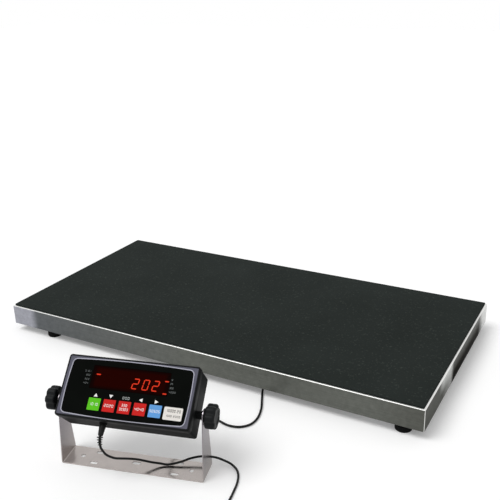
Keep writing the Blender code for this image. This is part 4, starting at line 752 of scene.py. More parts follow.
for node in ("rail_front", "rail_back", "cross_member_left", "cross_member_right"):
    refined(node, tube_steel, 0.5 * MM, "frame_steel")
for corner in CORNERS:
    refined(f"load_cell_{corner}", milled, 0.6 * MM, "cell_aluminium")
    refined(f"cell_mount_{corner}", tube_steel, 0.6 * MM, "frame_steel")
    refined(f"cell_bolts_{corner}", zinc, 0.5 * MM, "zinc")
    refined(f"jam_nut_{corner}", zinc, 0.6 * MM, "zinc")
    refined(f"cell_lead_{corner}", sheath, 0.01 * MM, "cord_black", segments=1)
print("corners dressed:", len(CORNERS))

# %% [markdown]
# A levelling foot is a rubber pad on a threaded stud. The pad's rim has moulded grip ribs, which repeat round
# it, so Geometry Nodes make them: one rib is a small round bar, set out on a circle of points. The tree takes
# its sizes as named inputs and ends in a real mesh.

# %% Helpers for node trees
def new_tree(name, sizes):
    """A Geometry Nodes tree with a geometry output and these float or integer inputs."""
    tree = bpy.data.node_groups.new(name, "GeometryNodeTree")
    tree.interface.new_socket("Geometry", in_out="INPUT", socket_type="NodeSocketGeometry")
    for label, value in sizes.items():
        kind = "NodeSocketInt" if isinstance(value, int) else "NodeSocketFloat"
        socket = tree.interface.new_socket(label, in_out="INPUT", socket_type=kind)
        socket.default_value = value
    tree.interface.new_socket("Geometry", in_out="OUTPUT", socket_type="NodeSocketGeometry")
    return tree, add_node(tree, "NodeGroupInput").outputs


def end_tree(tree, instances, finish):
    """Realizes the instances, sets their finish and ends the tree."""
    real = add_node(tree, "GeometryNodeRealizeInstances", {0: instances})
    smooth = add_node(tree, "GeometryNodeSetShadeSmooth", {"Geometry": real.outputs[0]})
    dressed = add_node(tree, "GeometryNodeSetMaterial", {"Geometry": smooth.outputs[0]})
    dressed.inputs["Material"].default_value = finish
    add_node(tree, "NodeGroupOutput", {0: dressed.outputs[0]})


def grown(tree, name, body, seed_mesh, slot, sizes, at=None, sharp=35.0):
    """A seed mesh run through a tree with these sizes, as a plain mesh piece carried to its place."""
    seed = placed(name + "_seed", seed_mesh)
    run = seed.modifiers.new("tree", "NODES")
    run.node_group = tree
    for item in tree.interface.items_tree:
        if item.in_out == "INPUT" and item.name in sizes:
            run[item.identifier] = sizes[item.name]
    mesh = evaluated_mesh(seed)
    bpy.data.objects.remove(seed)
    if at:
        mesh.transform(at)
    mesh.set_sharp_from_angle(angle=math.radians(sharp))
    mesh.name = name
    return settled(placed(name, mesh), body, slot=slot)


def seed_points(points, joined=False):
    """A mesh of points where a tree sets its pieces, joined into one open line if need be."""
    mesh = bpy.data.meshes.new("points")
    edges = [(i, i + 1) for i in range(len(points) - 1)] if joined else []
    mesh.from_pydata([tuple(p) for p in points], edges, [])
    return mesh


print("tree helpers ready")

# %% Tree: grip ribs round a pad
rib_tree, sizes = new_tree("grip ribs", {
    "Count": 28, "Ring radius": 17 * MM, "Rib width": 2.2 * MM, "Rib height": 8 * MM,
})
ring = add_node(rib_tree, "GeometryNodeMeshCircle", {
    "Vertices": sizes["Count"], "Radius": sizes["Ring radius"],
})
half = add_node(rib_tree, "ShaderNodeMath", {0: sizes["Rib width"], 1: 0.5}, operation="MULTIPLY")
rib = add_node(rib_tree, "GeometryNodeMeshCylinder", {
    "Vertices": 8, "Radius": half.outputs[0], "Depth": sizes["Rib height"],
})
ribs = add_node(rib_tree, "GeometryNodeInstanceOnPoints", {
    "Points": ring.outputs[0], "Instance": rib.outputs[0],
})
end_tree(rib_tree, ribs.outputs[0], pad_rubber)
print("grip rib tree ready")

# %% Feet
PAD = [(15.2, 0), (16.9, 0.25), (17.6, 0.9), (17.6, 1.6), (17.2, 2.2), (17.2, 9.6), (17.9, 10.2),
       (18.0, 10.9), (17.8, 12.2), (17.0, 13.2), (15.6, 13.8), (11.0, 14.0), (7.6, 14.1)]
COLLAR = [(7.4, 13.2), (7.4, 14.6), (6.0, 14.9), (5.3, 15.2)]
THREAD_START, THREAD_PITCH, ROOT, CREST = 15.4, 1.75, 5.3, 5.95

for corner in CORNERS:
    node, body = f"levelling_foot_{corner}", f"foot_{corner}"
    low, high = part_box(node)
    middle = ((low.x + high.x) / 2, (low.y + high.y) / 2)
    fitted(f"{node}_pad", turned(PAD, "Z", middle, 48), pad_rubber, None, body, slot="foot_rubber")
    grown(rib_tree, f"{node}_grips", body, seed_points([(0, 0, 0)]), "foot_rubber", {},
          at=Matrix.Translation((*middle, 5.9 * MM)))
    top, height, stud = high.z / MM, THREAD_START, list(COLLAR)
    while height < top - 1.2:
        stud += [(ROOT, height), (CREST, height + 0.35 * THREAD_PITCH), (CREST, height + 0.5 * THREAD_PITCH),
                 (ROOT, height + 0.85 * THREAD_PITCH)]
        height += THREAD_PITCH
    stud += [(ROOT, top - 0.8), (4.6, top)]
    fitted(f"{node}_stud", turned(stud, "Z", middle, 24), zinc, None, body, node, slot="zinc")
print("feet dressed:", len(CORNERS), "pad radius", max(radius for radius, _ in PAD), "mm")

# %% [markdown]
# The moulded plastics and the printed film. The head, the knobs and the adaptor are black ABS or nylon with a
# spark-eroded texture, which breaks up reflections into a soft sheen. The bezel ring is painted slate. The
# panel is a screen-printed polyester film. They all have an even grain, a slow change of tone and a sheen, so
# one function makes them from their own values.

# %% Plastic and film finishes
DRIFT = 26.0  # the tone drifts over about 40 mm


def moulded(name, dark, light, gloss, grain, depth, sheen=0.1):
    """A moulded or printed surface: two tones, its gloss, the grain's width and depth, and its sheen."""
    made, tree, place = open_finish(name)
    fine = add_node(tree, "ShaderNodeTexNoise", {"Vector": place, "Scale": 1 / grain, "Detail": 2.0})
    drift = add_node(tree, "ShaderNodeTexNoise", {
        "Vector": place, "Scale": DRIFT, "Detail": 3.0,
    }).outputs["Fac"]
    tone = add_node(tree, "ShaderNodeMix", {0: drift, 6: linear(dark), 7: linear(light)}, data_type="RGBA")
    rough = add_node(tree, "ShaderNodeMapRange", {0: drift, 3: gloss, 4: gloss + 0.14})
    bump = add_node(tree, "ShaderNodeBump", {
        "Height": fine.outputs["Fac"], "Strength": 0.35, "Distance": depth,
    })
    close_finish(tree, {
        "Base Color": tone.outputs[2], "Roughness": rough.outputs[0], "Normal": bump.outputs[0],
        "Specular IOR Level": sheen,
    })
    return made


# Moulded parts and paint: a grain of about 1 mm scatters what they mirror, so they look satin.
housing_abs = moulded("black moulded ABS", "0F1011", "171919", 0.42, 0.9 * MM, 0.00012, 0.06)
knob_abs = moulded("black glass-filled nylon", "0F1112", "17191A", 0.40, 1.1 * MM, 0.00016, 0.12)
lid_abs = moulded("dark grey moulded ABS", "26282A", "32353A", 0.42, 1.0 * MM, 0.00014, 0.2)
slate = moulded("slate textured paint", "545460", "636370", 0.46, 0.7 * MM, 0.00008, 0.05)
# painted highlight: a pale slate band on the bezel's inner edge, where the bevel catches light
ring_edge = moulded("slate paint worn light at the edge", "9A9AA8", "B2B2BE", 0.34, 0.7 * MM, 0.00005, 0.3)
# Printed film and ink: smooth and even, with a finer, shallower grain and hardly any highlight.
film = moulded("black screen-printed film", "0A0B0A", "101210", 0.30, 0.5 * MM, 0.00002, 0.0)
key_green = moulded("green printed film", "4FB512", "5BC11C", 0.34, 0.5 * MM, 0.00002, 0.05)
key_red = moulded("red printed film", "BE1714", "CA201C", 0.34, 0.5 * MM, 0.00002, 0.05)
key_blue = moulded("blue printed film", "5794D0", "669FDC", 0.34, 0.5 * MM, 0.00002, 0.05)
label_film = moulded("off-white printed film", "DAD6D0", "E6E3DE", 0.42, 0.5 * MM, 0.00002)
ink_white = moulded("white screen ink", "E4E4E2", "F2F2F0", 0.5, 0.4 * MM, 0.00001)
ink_pale = moulded("pale screen ink", "A8ACAA", "B8BBB9", 0.5, 0.4 * MM, 0.00001)
ink_grey = moulded("grey screen ink", "5C605F", "707473", 0.5, 0.4 * MM, 0.00001)
ink_dark = moulded("dark screen ink", "3A3633", "46423E", 0.5, 0.4 * MM, 0.00001)
print("plastic finishes ready")

# %% [markdown]
# The junction box and glands sit under the deck and on the head's back. The box keeps its CAD shape; its lid
# gets four screws, each a pan head with a cross recess. A screw repeats, so a tree sets one on each point,
# and the same tree later serves the head's back.

# %% Tree: pan-head screws on points
screw_tree, sizes = new_tree("pan-head screws", {"Head radius": 3 * MM, "Head height": 1.6 * MM})
dome = add_node(screw_tree, "GeometryNodeMeshUVSphere", {
    "Segments": 24, "Rings": 12, "Radius": sizes["Head radius"],
})
flat = add_node(screw_tree, "ShaderNodeMath", {
    0: sizes["Head height"], 1: sizes["Head radius"],
}, operation="DIVIDE")
squat = add_node(screw_tree, "ShaderNodeCombineXYZ", {0: 1.0, 1: 1.0, 2: flat.outputs[0]})
head_shape = add_node(screw_tree, "GeometryNodeTransform", {
    "Geometry": dome.outputs[0], "Scale": squat.outputs[0],
})
arm = add_node(screw_tree, "GeometryNodeMeshCube", {"Size": (3.4 * MM, 0.7 * MM, 2.4 * MM)})
arm_across = add_node(screw_tree, "GeometryNodeTransform", {
    "Geometry": arm.outputs[0], "Rotation": (0, 0, math.pi / 2),
})
cross = add_node(screw_tree, "GeometryNodeJoinGeometry")
for part in (arm, arm_across):
    screw_tree.links.new(part.outputs[0], cross.inputs[0])
top_at = add_node(screw_tree, "ShaderNodeCombineXYZ", {2: sizes["Head height"]})
recess = add_node(screw_tree, "GeometryNodeTransform", {
    "Geometry": cross.outputs[0], "Translation": top_at.outputs[0],
})
cut = add_node(screw_tree, "GeometryNodeMeshBoolean", {0: head_shape.outputs[0], 1: recess.outputs[0]})
spots = add_node(screw_tree, "GeometryNodeMeshToPoints", {0: sizes["Geometry"]})
screws = add_node(screw_tree, "GeometryNodeInstanceOnPoints", {
    "Points": spots.outputs[0], "Instance": cut.outputs[0],
})
end_tree(screw_tree, screws.outputs[0], zinc)
print("screw tree ready")

# %% Junction box and glands
LID_SCREW_INSET = 7 * MM
GLAND = [(9.0, 0), (9.0, 3.6), (8.7, 4.0), (7.6, 4.3), (7.6, 5.2), (8.0, 5.5), (8.0, 12.2), (7.6, 13.2),
         (6.6, 14.6), (5.2, 16.2), (4.3, 17.4), (4.0, 18.0), (2.6, 18.0)]

refined("junction_box", lid_abs, 0.8 * MM, "black_plastic")
refined("junction_lid", lid_abs, 0.8 * MM, "black_plastic")
low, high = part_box("junction_lid")
under_lid = Matrix.Translation((0, 0, low.z)) @ Matrix.Rotation(math.pi, 4, "X")
spots = [under_lid.inverted() @ Vector((x, y, low.z))
         for x in (low.x + LID_SCREW_INSET, high.x - LID_SCREW_INSET)
         for y in (low.y + LID_SCREW_INSET, high.y - LID_SCREW_INSET)]
grown(screw_tree, "lid_screws", "base", seed_points(spots), "zinc",
      {"Head radius": 2.8 * MM, "Head height": 1.5 * MM}, at=under_lid)

outlet = turned(GLAND, "Y", (outlet_x, outlet_z), 40, outlet_high.y, -1)
fitted("outlet_gland_finished", outlet, housing_abs, None, "base", "outlet_gland", slot="black_plastic")
rear = turned(GLAND, "Y", (GLAND_X, GLAND_Z), 40, GLAND_BACK)
fitted("rear_gland_finished", rear, housing_abs, HEAD, "head", "rear_gland", slot="black_plastic")
print("junction box dressed, with", len(spots), "screws, and two glands")

# %% [markdown]
# The bracket is one strip of bright annealed stainless steel, bent into a U. It is almost a mirror, so the
# lead that lies on it shows twice. Faint lines across the strip and a little haze keep it from being chrome.
# Its tone falls with height: a painted reflection of the pale floor at its foot and of darker things higher
# up.

# %% Bracket
BRACKET_TOP = 0.11

# Bright annealed stainless: nearly a mirror, with lines about 1 mm apart and a haze in patches of 33 mm.
bright, tree, place = open_finish("bright annealed stainless steel")
across = add_node(tree, "ShaderNodeMapping", {
    "Vector": place, "Rotation": (0, 0, -yaw), "Scale": (900, 12, 12),
})
drawn = add_node(tree, "ShaderNodeTexNoise", {"Vector": across.outputs[0], "Scale": 1.0, "Detail": 2.0})
haze = add_node(tree, "ShaderNodeTexNoise", {
    "Vector": place, "Scale": 30.0, "Detail": 4.0, "Distortion": 0.5,
})
haze = haze.outputs["Fac"]
rough = add_node(tree, "ShaderNodeMapRange", {0: haze, 3: 0.16, 4: 0.28})
bump = add_node(tree, "ShaderNodeBump", {
    "Height": drawn.outputs["Fac"], "Strength": 0.05, "Distance": 0.00005,
})
z = add_node(tree, "ShaderNodeSeparateXYZ", {0: place}).outputs["Z"]
height = add_node(tree, "ShaderNodeMapRange", {0: z, 1: 0.0, 2: BRACKET_TOP})
# painted reflection: pale low down where the floor is mirrored, darker higher up
by_height = add_node(tree, "ShaderNodeValToRGB", {0: height.outputs[0]}, stops=[
    (0.0, "B8B2AE"), (0.03, "A8A19E"), (0.45, "989293"), (1.0, "847F84"),
])
hazed = add_node(tree, "ShaderNodeMapRange", {0: haze, 3: 0.86, 4: 1.12})
tone = add_node(tree, "ShaderNodeVectorMath", {
    0: by_height.outputs[0], "Scale": hazed.outputs[0],
}, operation="SCALE")
close_finish(tree, {
    "Base Color": tone.outputs[0], "Metallic": 1.0, "Roughness": rough.outputs[0], "Normal": bump.outputs[0],
})
refined("bracket", bright, 0.25 * MM, "stainless")
print("bracket dressed")

# %% [markdown]
# The head is a two-part moulding. The rear housing keeps its CAD shape with rounded edges. The bezel is a
# deep frame: black sides and a thin black lip outside, a slate ring, and a painted highlight in pale slate on
# its inner edge round the film.
# Its loft runs from the back edge over the lip and down to the panel's recess, with a finish for each band.

# %% Housing and bezel
HEAD_WIDTH, HEAD_HEIGHT, HEAD_MIDDLE, HEAD_CORNER = 260, 118, 20, 5.5
FILM_WIDTH, FILM_HEIGHT, FILM_MIDDLE, FILM_CORNER, SIDE_BOW, TOP_BOW = 240.6, 107.8, 19.4, 6.8, 2.2, 3.6
FACE_Y, BEZEL_BACK, RECESS_FLOOR, WALL_BACK = -38 * MM, -20 * MM, -36.2 * MM, -33.7 * MM
# finish bands of the bezel: black, slate, and a painted highlight on the inner edge
BLACK, SLATE, LIGHT_EDGE = 0, 1, 2
CORNER_STEPS, LONG_PARTS, SHORT_PARTS = 8, 14, 8


def divided(outline):
    """A rounded outline with extra points along its straight sides, so that they can be bowed."""
    points, per_side = [], CORNER_STEPS + 1
    for side, parts in enumerate((LONG_PARTS, SHORT_PARTS) * 2):
        first, last = side * per_side, side * per_side + CORNER_STEPS
        points += outline[first:last]
        (x, z), (far_x, far_z) = outline[last], outline[(last + 1) % len(outline)]
        points += [(x + (far_x - x) * k / parts, z + (far_z - z) * k / parts) for k in range(parts)]
    return points


def head_ring(inset):
    """The head's own outline on its face, drawn in by millimetres."""
    width, height = (HEAD_WIDTH - 2 * inset) * MM, (HEAD_HEIGHT - 2 * inset) * MM
    radius = max(HEAD_CORNER - inset, 0.8) * MM
    return divided(rounded_rectangle(width, height, radius, CORNER_STEPS, (0, HEAD_MIDDLE * MM)))


def film_ring(grow):
    """The film's opening, its four sides bowed outwards, grown all round by millimetres."""
    width, height = (FILM_WIDTH + 2 * grow) * MM, (FILM_HEIGHT + 2 * grow) * MM
    flat = divided(rounded_rectangle(width, height, (FILM_CORNER + grow) * MM, CORNER_STEPS))
    return [(x - math.copysign(SIDE_BOW * MM, x) * (2 * z / height) ** 2,
             FILM_MIDDLE * MM + z - math.copysign(TOP_BOW * MM, z) * (2 * x / width) ** 2) for x, z in flat]


refined("rear_housing", housing_abs, 0.5 * MM, "black_plastic", body="head")
bezel_rows = [
    (head_ring, 3.7, WALL_BACK, BLACK), (head_ring, 3.7, BEZEL_BACK, BLACK),
    (head_ring, 0.4, BEZEL_BACK, BLACK), (head_ring, 0.0, BEZEL_BACK - 0.4 * MM, BLACK),
    (head_ring, 0.0, FACE_Y + 2.2 * MM, BLACK), (head_ring, 0.25, FACE_Y + 1.2 * MM, BLACK),
    (head_ring, 0.8, FACE_Y + 0.45 * MM, BLACK), (head_ring, 1.6, FACE_Y + 0.08 * MM, BLACK),
    (head_ring, 3.7, FACE_Y, BLACK), (head_ring, 4.0, FACE_Y + 0.3 * MM, SLATE),
    (film_ring, 1.7, FACE_Y + 0.25 * MM, SLATE),
    (film_ring, 1.4, FACE_Y, LIGHT_EDGE), (film_ring, 0.4, FACE_Y, LIGHT_EDGE),
    (film_ring, 0.0, FACE_Y + 0.3 * MM, LIGHT_EDGE), (film_ring, 0.0, RECESS_FLOOR, BLACK),
]
loops = [lay(ring(inset), "Y", y) for ring, inset, y, _ in bezel_rows]
bezel = loft(loops, bands=[band for *_, band in bezel_rows[1:]])
bezel = fitted("bezel_finished", bezel, [housing_abs, slate, ring_edge], HEAD, "head", "front_bezel",
               slot="bezel_plastic", sharp=50)
print("bezel faces:", len(bezel.data.polygons))

# %% [markdown]
# The keys and the digit module stand behind the film, so the bezel's inner wall has an opening for each. A
# Boolean cuts them out, with the same clearances as in the CAD. The film itself keeps its CAD shape, and so
# do the key caps and the label, with their edges rounded. These are film too, black at their edges, and the
# colour is a thin printed patch on each, a little smaller than the cap.

# %% Openings, film, key caps and label
KEY_MIDDLE, KEY_PITCH, KEY_OPENING = 1.3, 29.6, (19.4 * MM, 19.4 * MM)
KEY_PRINT, KEY_PRINT_ASIDE = (23.7 * MM, 22.7 * MM), 0.3 * MM
KEY_X = [(KEY_MIDDLE + (i - 2) * KEY_PITCH) * MM for i in range(5)]
KEY_Z, KEY_FRONT, OPENING_BACK = -11.2 * MM, -38.1 * MM, -33 * MM
WINDOW_OPENING, WINDOW_X, WINDOW_Z = (146 * MM, 37.4 * MM), 1 * MM, 39.7 * MM
LABEL_X, LABEL_Z, LABEL_PRINT = 95.0 * MM, -12.0 * MM, (35.2 * MM, 23.4 * MM)
KEY_FINISHES = {"key_green": key_green, "key_red": key_red, "key_blue": key_blue}


def cut_away(piece, tool):
    """Takes the closed shapes in a bmesh, given in the head's frame, out of a piece."""
    tool.transform(HEAD)
    cutter = shown("cutter", tool, housing_abs)
    boolean = piece.modifiers.new("openings", "BOOLEAN")
    boolean.operation, boolean.solver, boolean.object = "DIFFERENCE", "EXACT", cutter
    mesh = evaluated_mesh(piece)
    piece.modifiers.clear()
    piece.data = mesh
    bpy.data.objects.remove(cutter)


openings = bmesh.new()
for size, middle in [(WINDOW_OPENING, (WINDOW_X, WINDOW_Z))] + [(KEY_OPENING, (x, KEY_Z)) for x in KEY_X]:
    plate(openings, rounded_rectangle(*size, 1 * MM, 2, middle), FACE_Y, OPENING_BACK)
cut_away(bezel, openings)

refined("keypad_panel", film, 0.15 * MM, "panel_film", body="head", segments=1)
for i, colour in enumerate(("key_green", "key_red", "key_red", "key_red", "key_blue"), start=1):
    refined(f"key_{i}", film, 0.22 * MM, colour, body=f"key_{i}_body")
    outline = rounded_rectangle(*KEY_PRINT, 0.9 * MM, 4, (KEY_X[i - 1] + KEY_PRINT_ASIDE, KEY_Z))
    patch = plate(bmesh.new(), outline, KEY_FRONT - 0.03 * MM, KEY_FRONT + 0.05 * MM)
    fitted(f"key_{i}_print", patch, KEY_FINISHES[colour], HEAD, f"key_{i}_body", slot=colour)
refined("capacity_label", film, 0.08 * MM, "label_white", body="head", segments=1)
outline = rounded_rectangle(*LABEL_PRINT, 2.2 * MM, 6, (LABEL_X, LABEL_Z))
patch = plate(bmesh.new(), outline, -38.13 * MM, -38.02 * MM)
fitted("label_print", patch, label_film, HEAD, "head", slot="label_white")
print("key caps:", len(KEY_X))

# %% [markdown]
# The window is a dark red filter over light-emitting segments. The filter is printed on the film's back and
# fades into it at its border. The segments are flat hexagonal bars that shine by themselves; seven bars make
# any digit, and a digit leans by eight degrees as on real modules.

# %% Red filter and lit segments
# Red acrylic: smooth, and so dark that only the lit bars behind it glow. It fades over its last 8 mm.
filter_sheet, tree, place = open_finish("dark red acrylic filter")
to_head = HEAD.inverted()
on_face = add_node(tree, "ShaderNodeMapping", {
    "Vector": place, "Location": to_head.translation, "Rotation": to_head.to_euler(),
})
x, y, z = add_node(tree, "ShaderNodeSeparateXYZ", {0: on_face.outputs[0]}).outputs
inside = []
for value, middle, reach in ((x, WINDOW_X, 73 * MM), (z, WINDOW_Z, 21.7 * MM)):
    off = add_node(tree, "ShaderNodeMath", {0: value, 1: middle}, operation="SUBTRACT")
    off = add_node(tree, "ShaderNodeMath", {0: off.outputs[0]}, operation="ABSOLUTE")
    inside.append(add_node(tree, "ShaderNodeMapRange", {
        0: off.outputs[0], 1: reach, 2: reach - 8 * MM,
    }, interpolation_type="SMOOTHSTEP").outputs[0])
clear = add_node(tree, "ShaderNodeMath", {0: inside[0], 1: inside[1]}, operation="MULTIPLY").outputs[0]
tone = add_node(tree, "ShaderNodeMix", {0: clear, 6: linear("120504"), 7: linear("210402")}, data_type="RGBA")
close_finish(tree, {"Base Color": tone.outputs[2], "Roughness": 0.12, "Specular IOR Level": 0.0})

# A lit segment: it shines an even red, with a faint change over about 3 mm.
lit, tree, place = open_finish("lit red diode segment")
pulse = add_node(tree, "ShaderNodeTexNoise", {"Vector": place, "Scale": 300.0, "Detail": 1.0}).outputs["Fac"]
shine = add_node(tree, "ShaderNodeMix", {
    0: pulse, 6: linear("E02C14"), 7: linear("EE4428"),
}, data_type="RGBA")
close_finish(tree, {
    "Base Color": linear("2A0602"), "Roughness": 0.5, "Emission Strength": 0.92, "Specular IOR Level": 0.03,
    "Emission Color": shine.outputs[2],
})
refined("display_window", filter_sheet, 0.1 * MM, "red_filter", body="head", segments=1)
print("window dressed")

# %% Seven-bar digits
SEGMENTS = {"a": "TL TR", "b": "TR MR", "c": "MR BR", "d": "BL BR", "e": "ML BL", "f": "TL ML", "g": "ML MR"}
DIGITS = {"0": "abcdef", "1": "bc", "2": "abged", "3": "abgcd", "4": "fgbc", "5": "afgcd"}


def bar(p, q, half, gap):
    """A flat bar with pointed ends, as (x, z) points."""
    along = (q - p).normalized()
    across = Vector((-along.y, along.x))
    p, q = p + along * gap, q - along * gap
    return [tuple(v) for v in (p, p + half * (along - across), q - half * (along + across), q,
                               q + half * (across - along), p + half * (along + across))]


def digit(shown_as, x, z, width, height, half, lean):
    """The bars of a seven-segment digit round (x, z), in millimetres, leaning by degrees."""
    w, h = width / 2 - half, height / 2 - half
    corners = {"TL": (-w, h), "TR": (w, h), "ML": (-w, 0), "MR": (w, 0), "BL": (-w, -h), "BR": (w, -h)}
    slope = math.tan(math.radians(lean))
    bars = []
    for name in DIGITS[shown_as]:
        p, q = (Vector(corners[c]) for c in SEGMENTS[name].split())
        bars.append([(x + a + b * slope, z + b) for a, b in bar(p, q, half, 0.16 * half)])
    return bars


def marks(name, outlines, front, finish, slot=None, body="head", lift=0.03):
    """Flat raised shapes: outlines in (x, z) millimetres on the head's face."""
    bm = bmesh.new()
    for outline in outlines:
        plate(bm, [(a * MM, b * MM) for a, b in outline], front - lift * MM, front + 0.02 * MM)
    return fitted(name, bm, finish, HEAD, body, slot=slot)


lamps = []
for x, shown_as in ((12.8, "2"), (33.0, "0"), (52.0, "2")):
    lamps += digit(shown_as, x, 34.4, 12.0, 20.4, 1.0, 8)
for x, z, reach in ((-62.7, 44.8, 4.6), (71.6, 45.1, 4.0), (71.6, 22.0, 4.0)):
    lamps.append(bar(Vector((x - reach, z)), Vector((x + reach, z)), 1.15, 0))
marks("lit_segments", lamps, -37.4 * MM, lit, "red_filter", lift=0.06)
print("lit bars:", len(lamps))

# %% [markdown]
# Screen ink lies a few hundredths of a millimetre proud of the film. The marks are generic: arrows over the
# keys, and plain numbers on each key, beside the window and on the label, drawn with the same seven bars.

# %% Printed marks
FILM_FRONT, LABEL_FRONT = -37.5 * MM, -38.1 * MM
STATUS_LEFT, STATUS_RIGHT, STATUS_ROWS = -79.2, 78.8, (49.1, 41.7, 33.9, 26.3)
SIGNS = {1: [("1010", 16.5, 0)], 2: [("2020", 18.5, 0)], 3: [("330", 10.8, 4.0), ("30303", 16.8, -3.4)],
         4: [("4040", 18.0, 0)], 5: [("50505", 19.6, 0)]}


def number(shown_as, x, z, width, height, stroke):
    """A plain number centred on (x, z), its digits spread over a width in millimetres."""
    pitch, middle = width / (len(shown_as) - 0.22), (len(shown_as) - 1) / 2
    bars = []
    for k, figure in enumerate(shown_as):
        bars += digit(figure, x + (k - middle) * pitch, z, 0.78 * pitch, height, stroke / 2, 0)
    return bars


def arrow(x, z, base, height, towards):
    """An arrow head with its middle at (x, z): towards is its direction in degrees."""
    ahead = Vector((math.cos(math.radians(towards)), math.sin(math.radians(towards))))
    aside = Vector((-ahead.y, ahead.x))
    point, back = ahead * height / 2, -ahead * height / 2
    return [(x + c.x, z + c.y) for c in (point, back + aside * base / 2, back - aside * base / 2)]


arrows = [arrow(-57.9, 6, 8.0, 6.2, 90), arrow(-28.3, 6, 7.8, 6.4, -90),
          arrow(29.8, 6, 7.2, 6.8, 180), arrow(60.5, 6, 7.2, 7.0, 0)]
marks("arrow_marks", arrows, FILM_FRONT, ink_white, "panel_film")
marks("set_mark", number("000", 1.3, 6.2, 14.0, 4.8, 0.9), FILM_FRONT, ink_pale, "panel_film")
lines = []
for (shown_as, x), z in zip((("0101", -85.0), ("202", -83.2), ("303", -83.8), ("404", -84.3)), STATUS_ROWS):
    lines += number(shown_as, x, z, 2 * (STATUS_LEFT - x), 3.4, 0.6)
for (shown_as, x), z in zip((("10", 80.4), ("20", 81.2), ("300", 82.6), ("4000", 85.3)), STATUS_ROWS):
    lines += number(shown_as, x, z, 2 * (x - STATUS_RIGHT), 3.4, 0.6)
marks("status_marks", lines, FILM_FRONT, ink_grey, "panel_film")
for i, rows in SIGNS.items():
    figures = []
    for shown_as, width, dz in rows:
        figures += number(shown_as, KEY_X[i - 1] / MM, KEY_Z / MM + dz, width, 5.2, 0.85)
    marks(f"key_{i}_sign", figures, KEY_FRONT, ink_white, body=f"key_{i}_body", lift=0.06)
rows = number("10000", 90.4, -6.9, 17.5, 5.4, 0.9) + number("20", 105.4, -6.9, 7.6, 5.4, 0.9)
rows += number("1000", 87.8, -16.3, 12.0, 3.9, 0.75) + number("2000", 103.0, -16.3, 13.4, 3.9, 0.75)
marks("label_rules", rows, LABEL_FRONT, ink_dark, "label_white", lift=0.06)
print("printed signs:", len(SIGNS))

# %% [markdown]
# A clamp knob has seven broad lobes with narrow grooves, rounded at both ends, and a shallow dish in its
# outer face. Its outline follows a rule, so each ring of the loft is that outline at its own scale, and the
# lobes fade where the ring shrinks to the dish.

# %% Clamp knobs and washers
KNOB_RADIUS, LOBES, GROOVE, KNOB_SIDES, HUB = 23.5, 7, 0.15, 112, 143.3
# the zinc-plated stud and the plastic neck: distance out from the hub's face, and radius
KNOB_NECK = [(-14.9, 2.2), (-14.4, 2.9), (0.0, 2.9), (0.0, 10.5), (0.4, 11.0), (3.0, 11.0)]
# the lobed part: distance out, scale, and depth of the grooves
KNOB_LOBES = [(3.0, 0.80, 0.9), (3.4, 0.87, 1.0), (4.4, 0.945, 1.0), (5.6, 0.985, 1.0), (7.0, 1.0, 1.0),
              (18.0, 1.0, 1.0), (19.9, 0.985, 1.0), (21.4, 0.945, 1.0), (22.5, 0.88, 0.9), (23.0, 0.80, 0.7),
              (23.0, 0.60, 0.0), (22.5, 0.56, 0.0), (21.9, 0.52, 0.0), (21.7, 0.30, 0.0), (21.7, 0.05, 0.0)]


def lobed(scale, depth):
    """The knob's outline at a scale, with grooves of a depth from 0 to 1."""
    points = []
    for k in range(KNOB_SIDES):
        turn = math.tau * k / KNOB_SIDES
        groove = (0.5 - 0.5 * math.cos(LOBES * turn)) ** 2
        radius = KNOB_RADIUS * MM * scale * (1 - GROOVE * depth * groove)
        points.append((radius * math.cos(turn), radius * math.sin(turn)))
    return points


for name, side in (("left", -1), ("right", 1)):
    hub = side * HUB * MM
    loops = [lay(circle(r * MM, KNOB_SIDES), "X", hub + side * d * MM) for d, r in KNOB_NECK]
    loops += [lay(lobed(scale, depth), "X", hub + side * d * MM) for d, scale, depth in KNOB_LOBES]
    knob = loft(loops, bands=[1, 1] + [0] * (len(loops) - 3))
    fitted(f"clamp_knob_{name}_finished", knob, [knob_abs, zinc], HEAD, f"knob_{name}", f"clamp_knob_{name}",
           slot="black_plastic", sharp=45)
    refined(f"side_washer_{name}", pad_rubber, 0.5 * MM, "foot_rubber", body="head")
print("knobs dressed: 2")

# %% [markdown]
# The plug is moulded in one piece with its bend relief. Its body is a row of rings down the curved spine. The
# ribs of a relief repeat along a line, so a tree sets one flat ring with rounded edges at each point of the
# line and makes each a little smaller than the one before.

# %% Tree: relief ribs along a line
relief_tree, sizes = new_tree("relief ribs", {
    "Count": 4, "Rib radius": 5.8 * MM, "Rib reach": 1.8 * MM, "Rib width": 2.0 * MM, "Shrink": 0.09,
})
line = add_node(relief_tree, "GeometryNodeMeshToCurve", {0: sizes["Geometry"]})
steps = add_node(relief_tree, "GeometryNodeResampleCurve", {
    "Curve": line.outputs[0], "Count": sizes["Count"],
})
spots = add_node(relief_tree, "GeometryNodeCurveToPoints", {"Curve": steps.outputs[0]}, mode="EVALUATED")
ring, across, rounding = (
    add_node(relief_tree, "ShaderNodeMath", {0: sizes[first], 1: second}, operation=kind).outputs[0]
    for first, second, kind in (
        ("Rib radius", sizes["Rib reach"], "SUBTRACT"), ("Rib reach", 2.0, "MULTIPLY"),
        ("Rib width", 0.3, "MULTIPLY"),
    )
)
ring = add_node(relief_tree, "GeometryNodeCurvePrimitiveCircle", {"Resolution": 28, "Radius": ring})
bead = add_node(relief_tree, "GeometryNodeCurvePrimitiveQuadrilateral", {
    "Width": across, "Height": sizes["Rib width"],
})
bead = add_node(relief_tree, "GeometryNodeFilletCurve", {
    "Curve": bead.outputs[0], "Radius": rounding, "Count": 3,
}, mode="POLY")
rib = add_node(relief_tree, "GeometryNodeCurveToMesh", {
    "Curve": ring.outputs[0], "Profile Curve": bead.outputs[0],
})
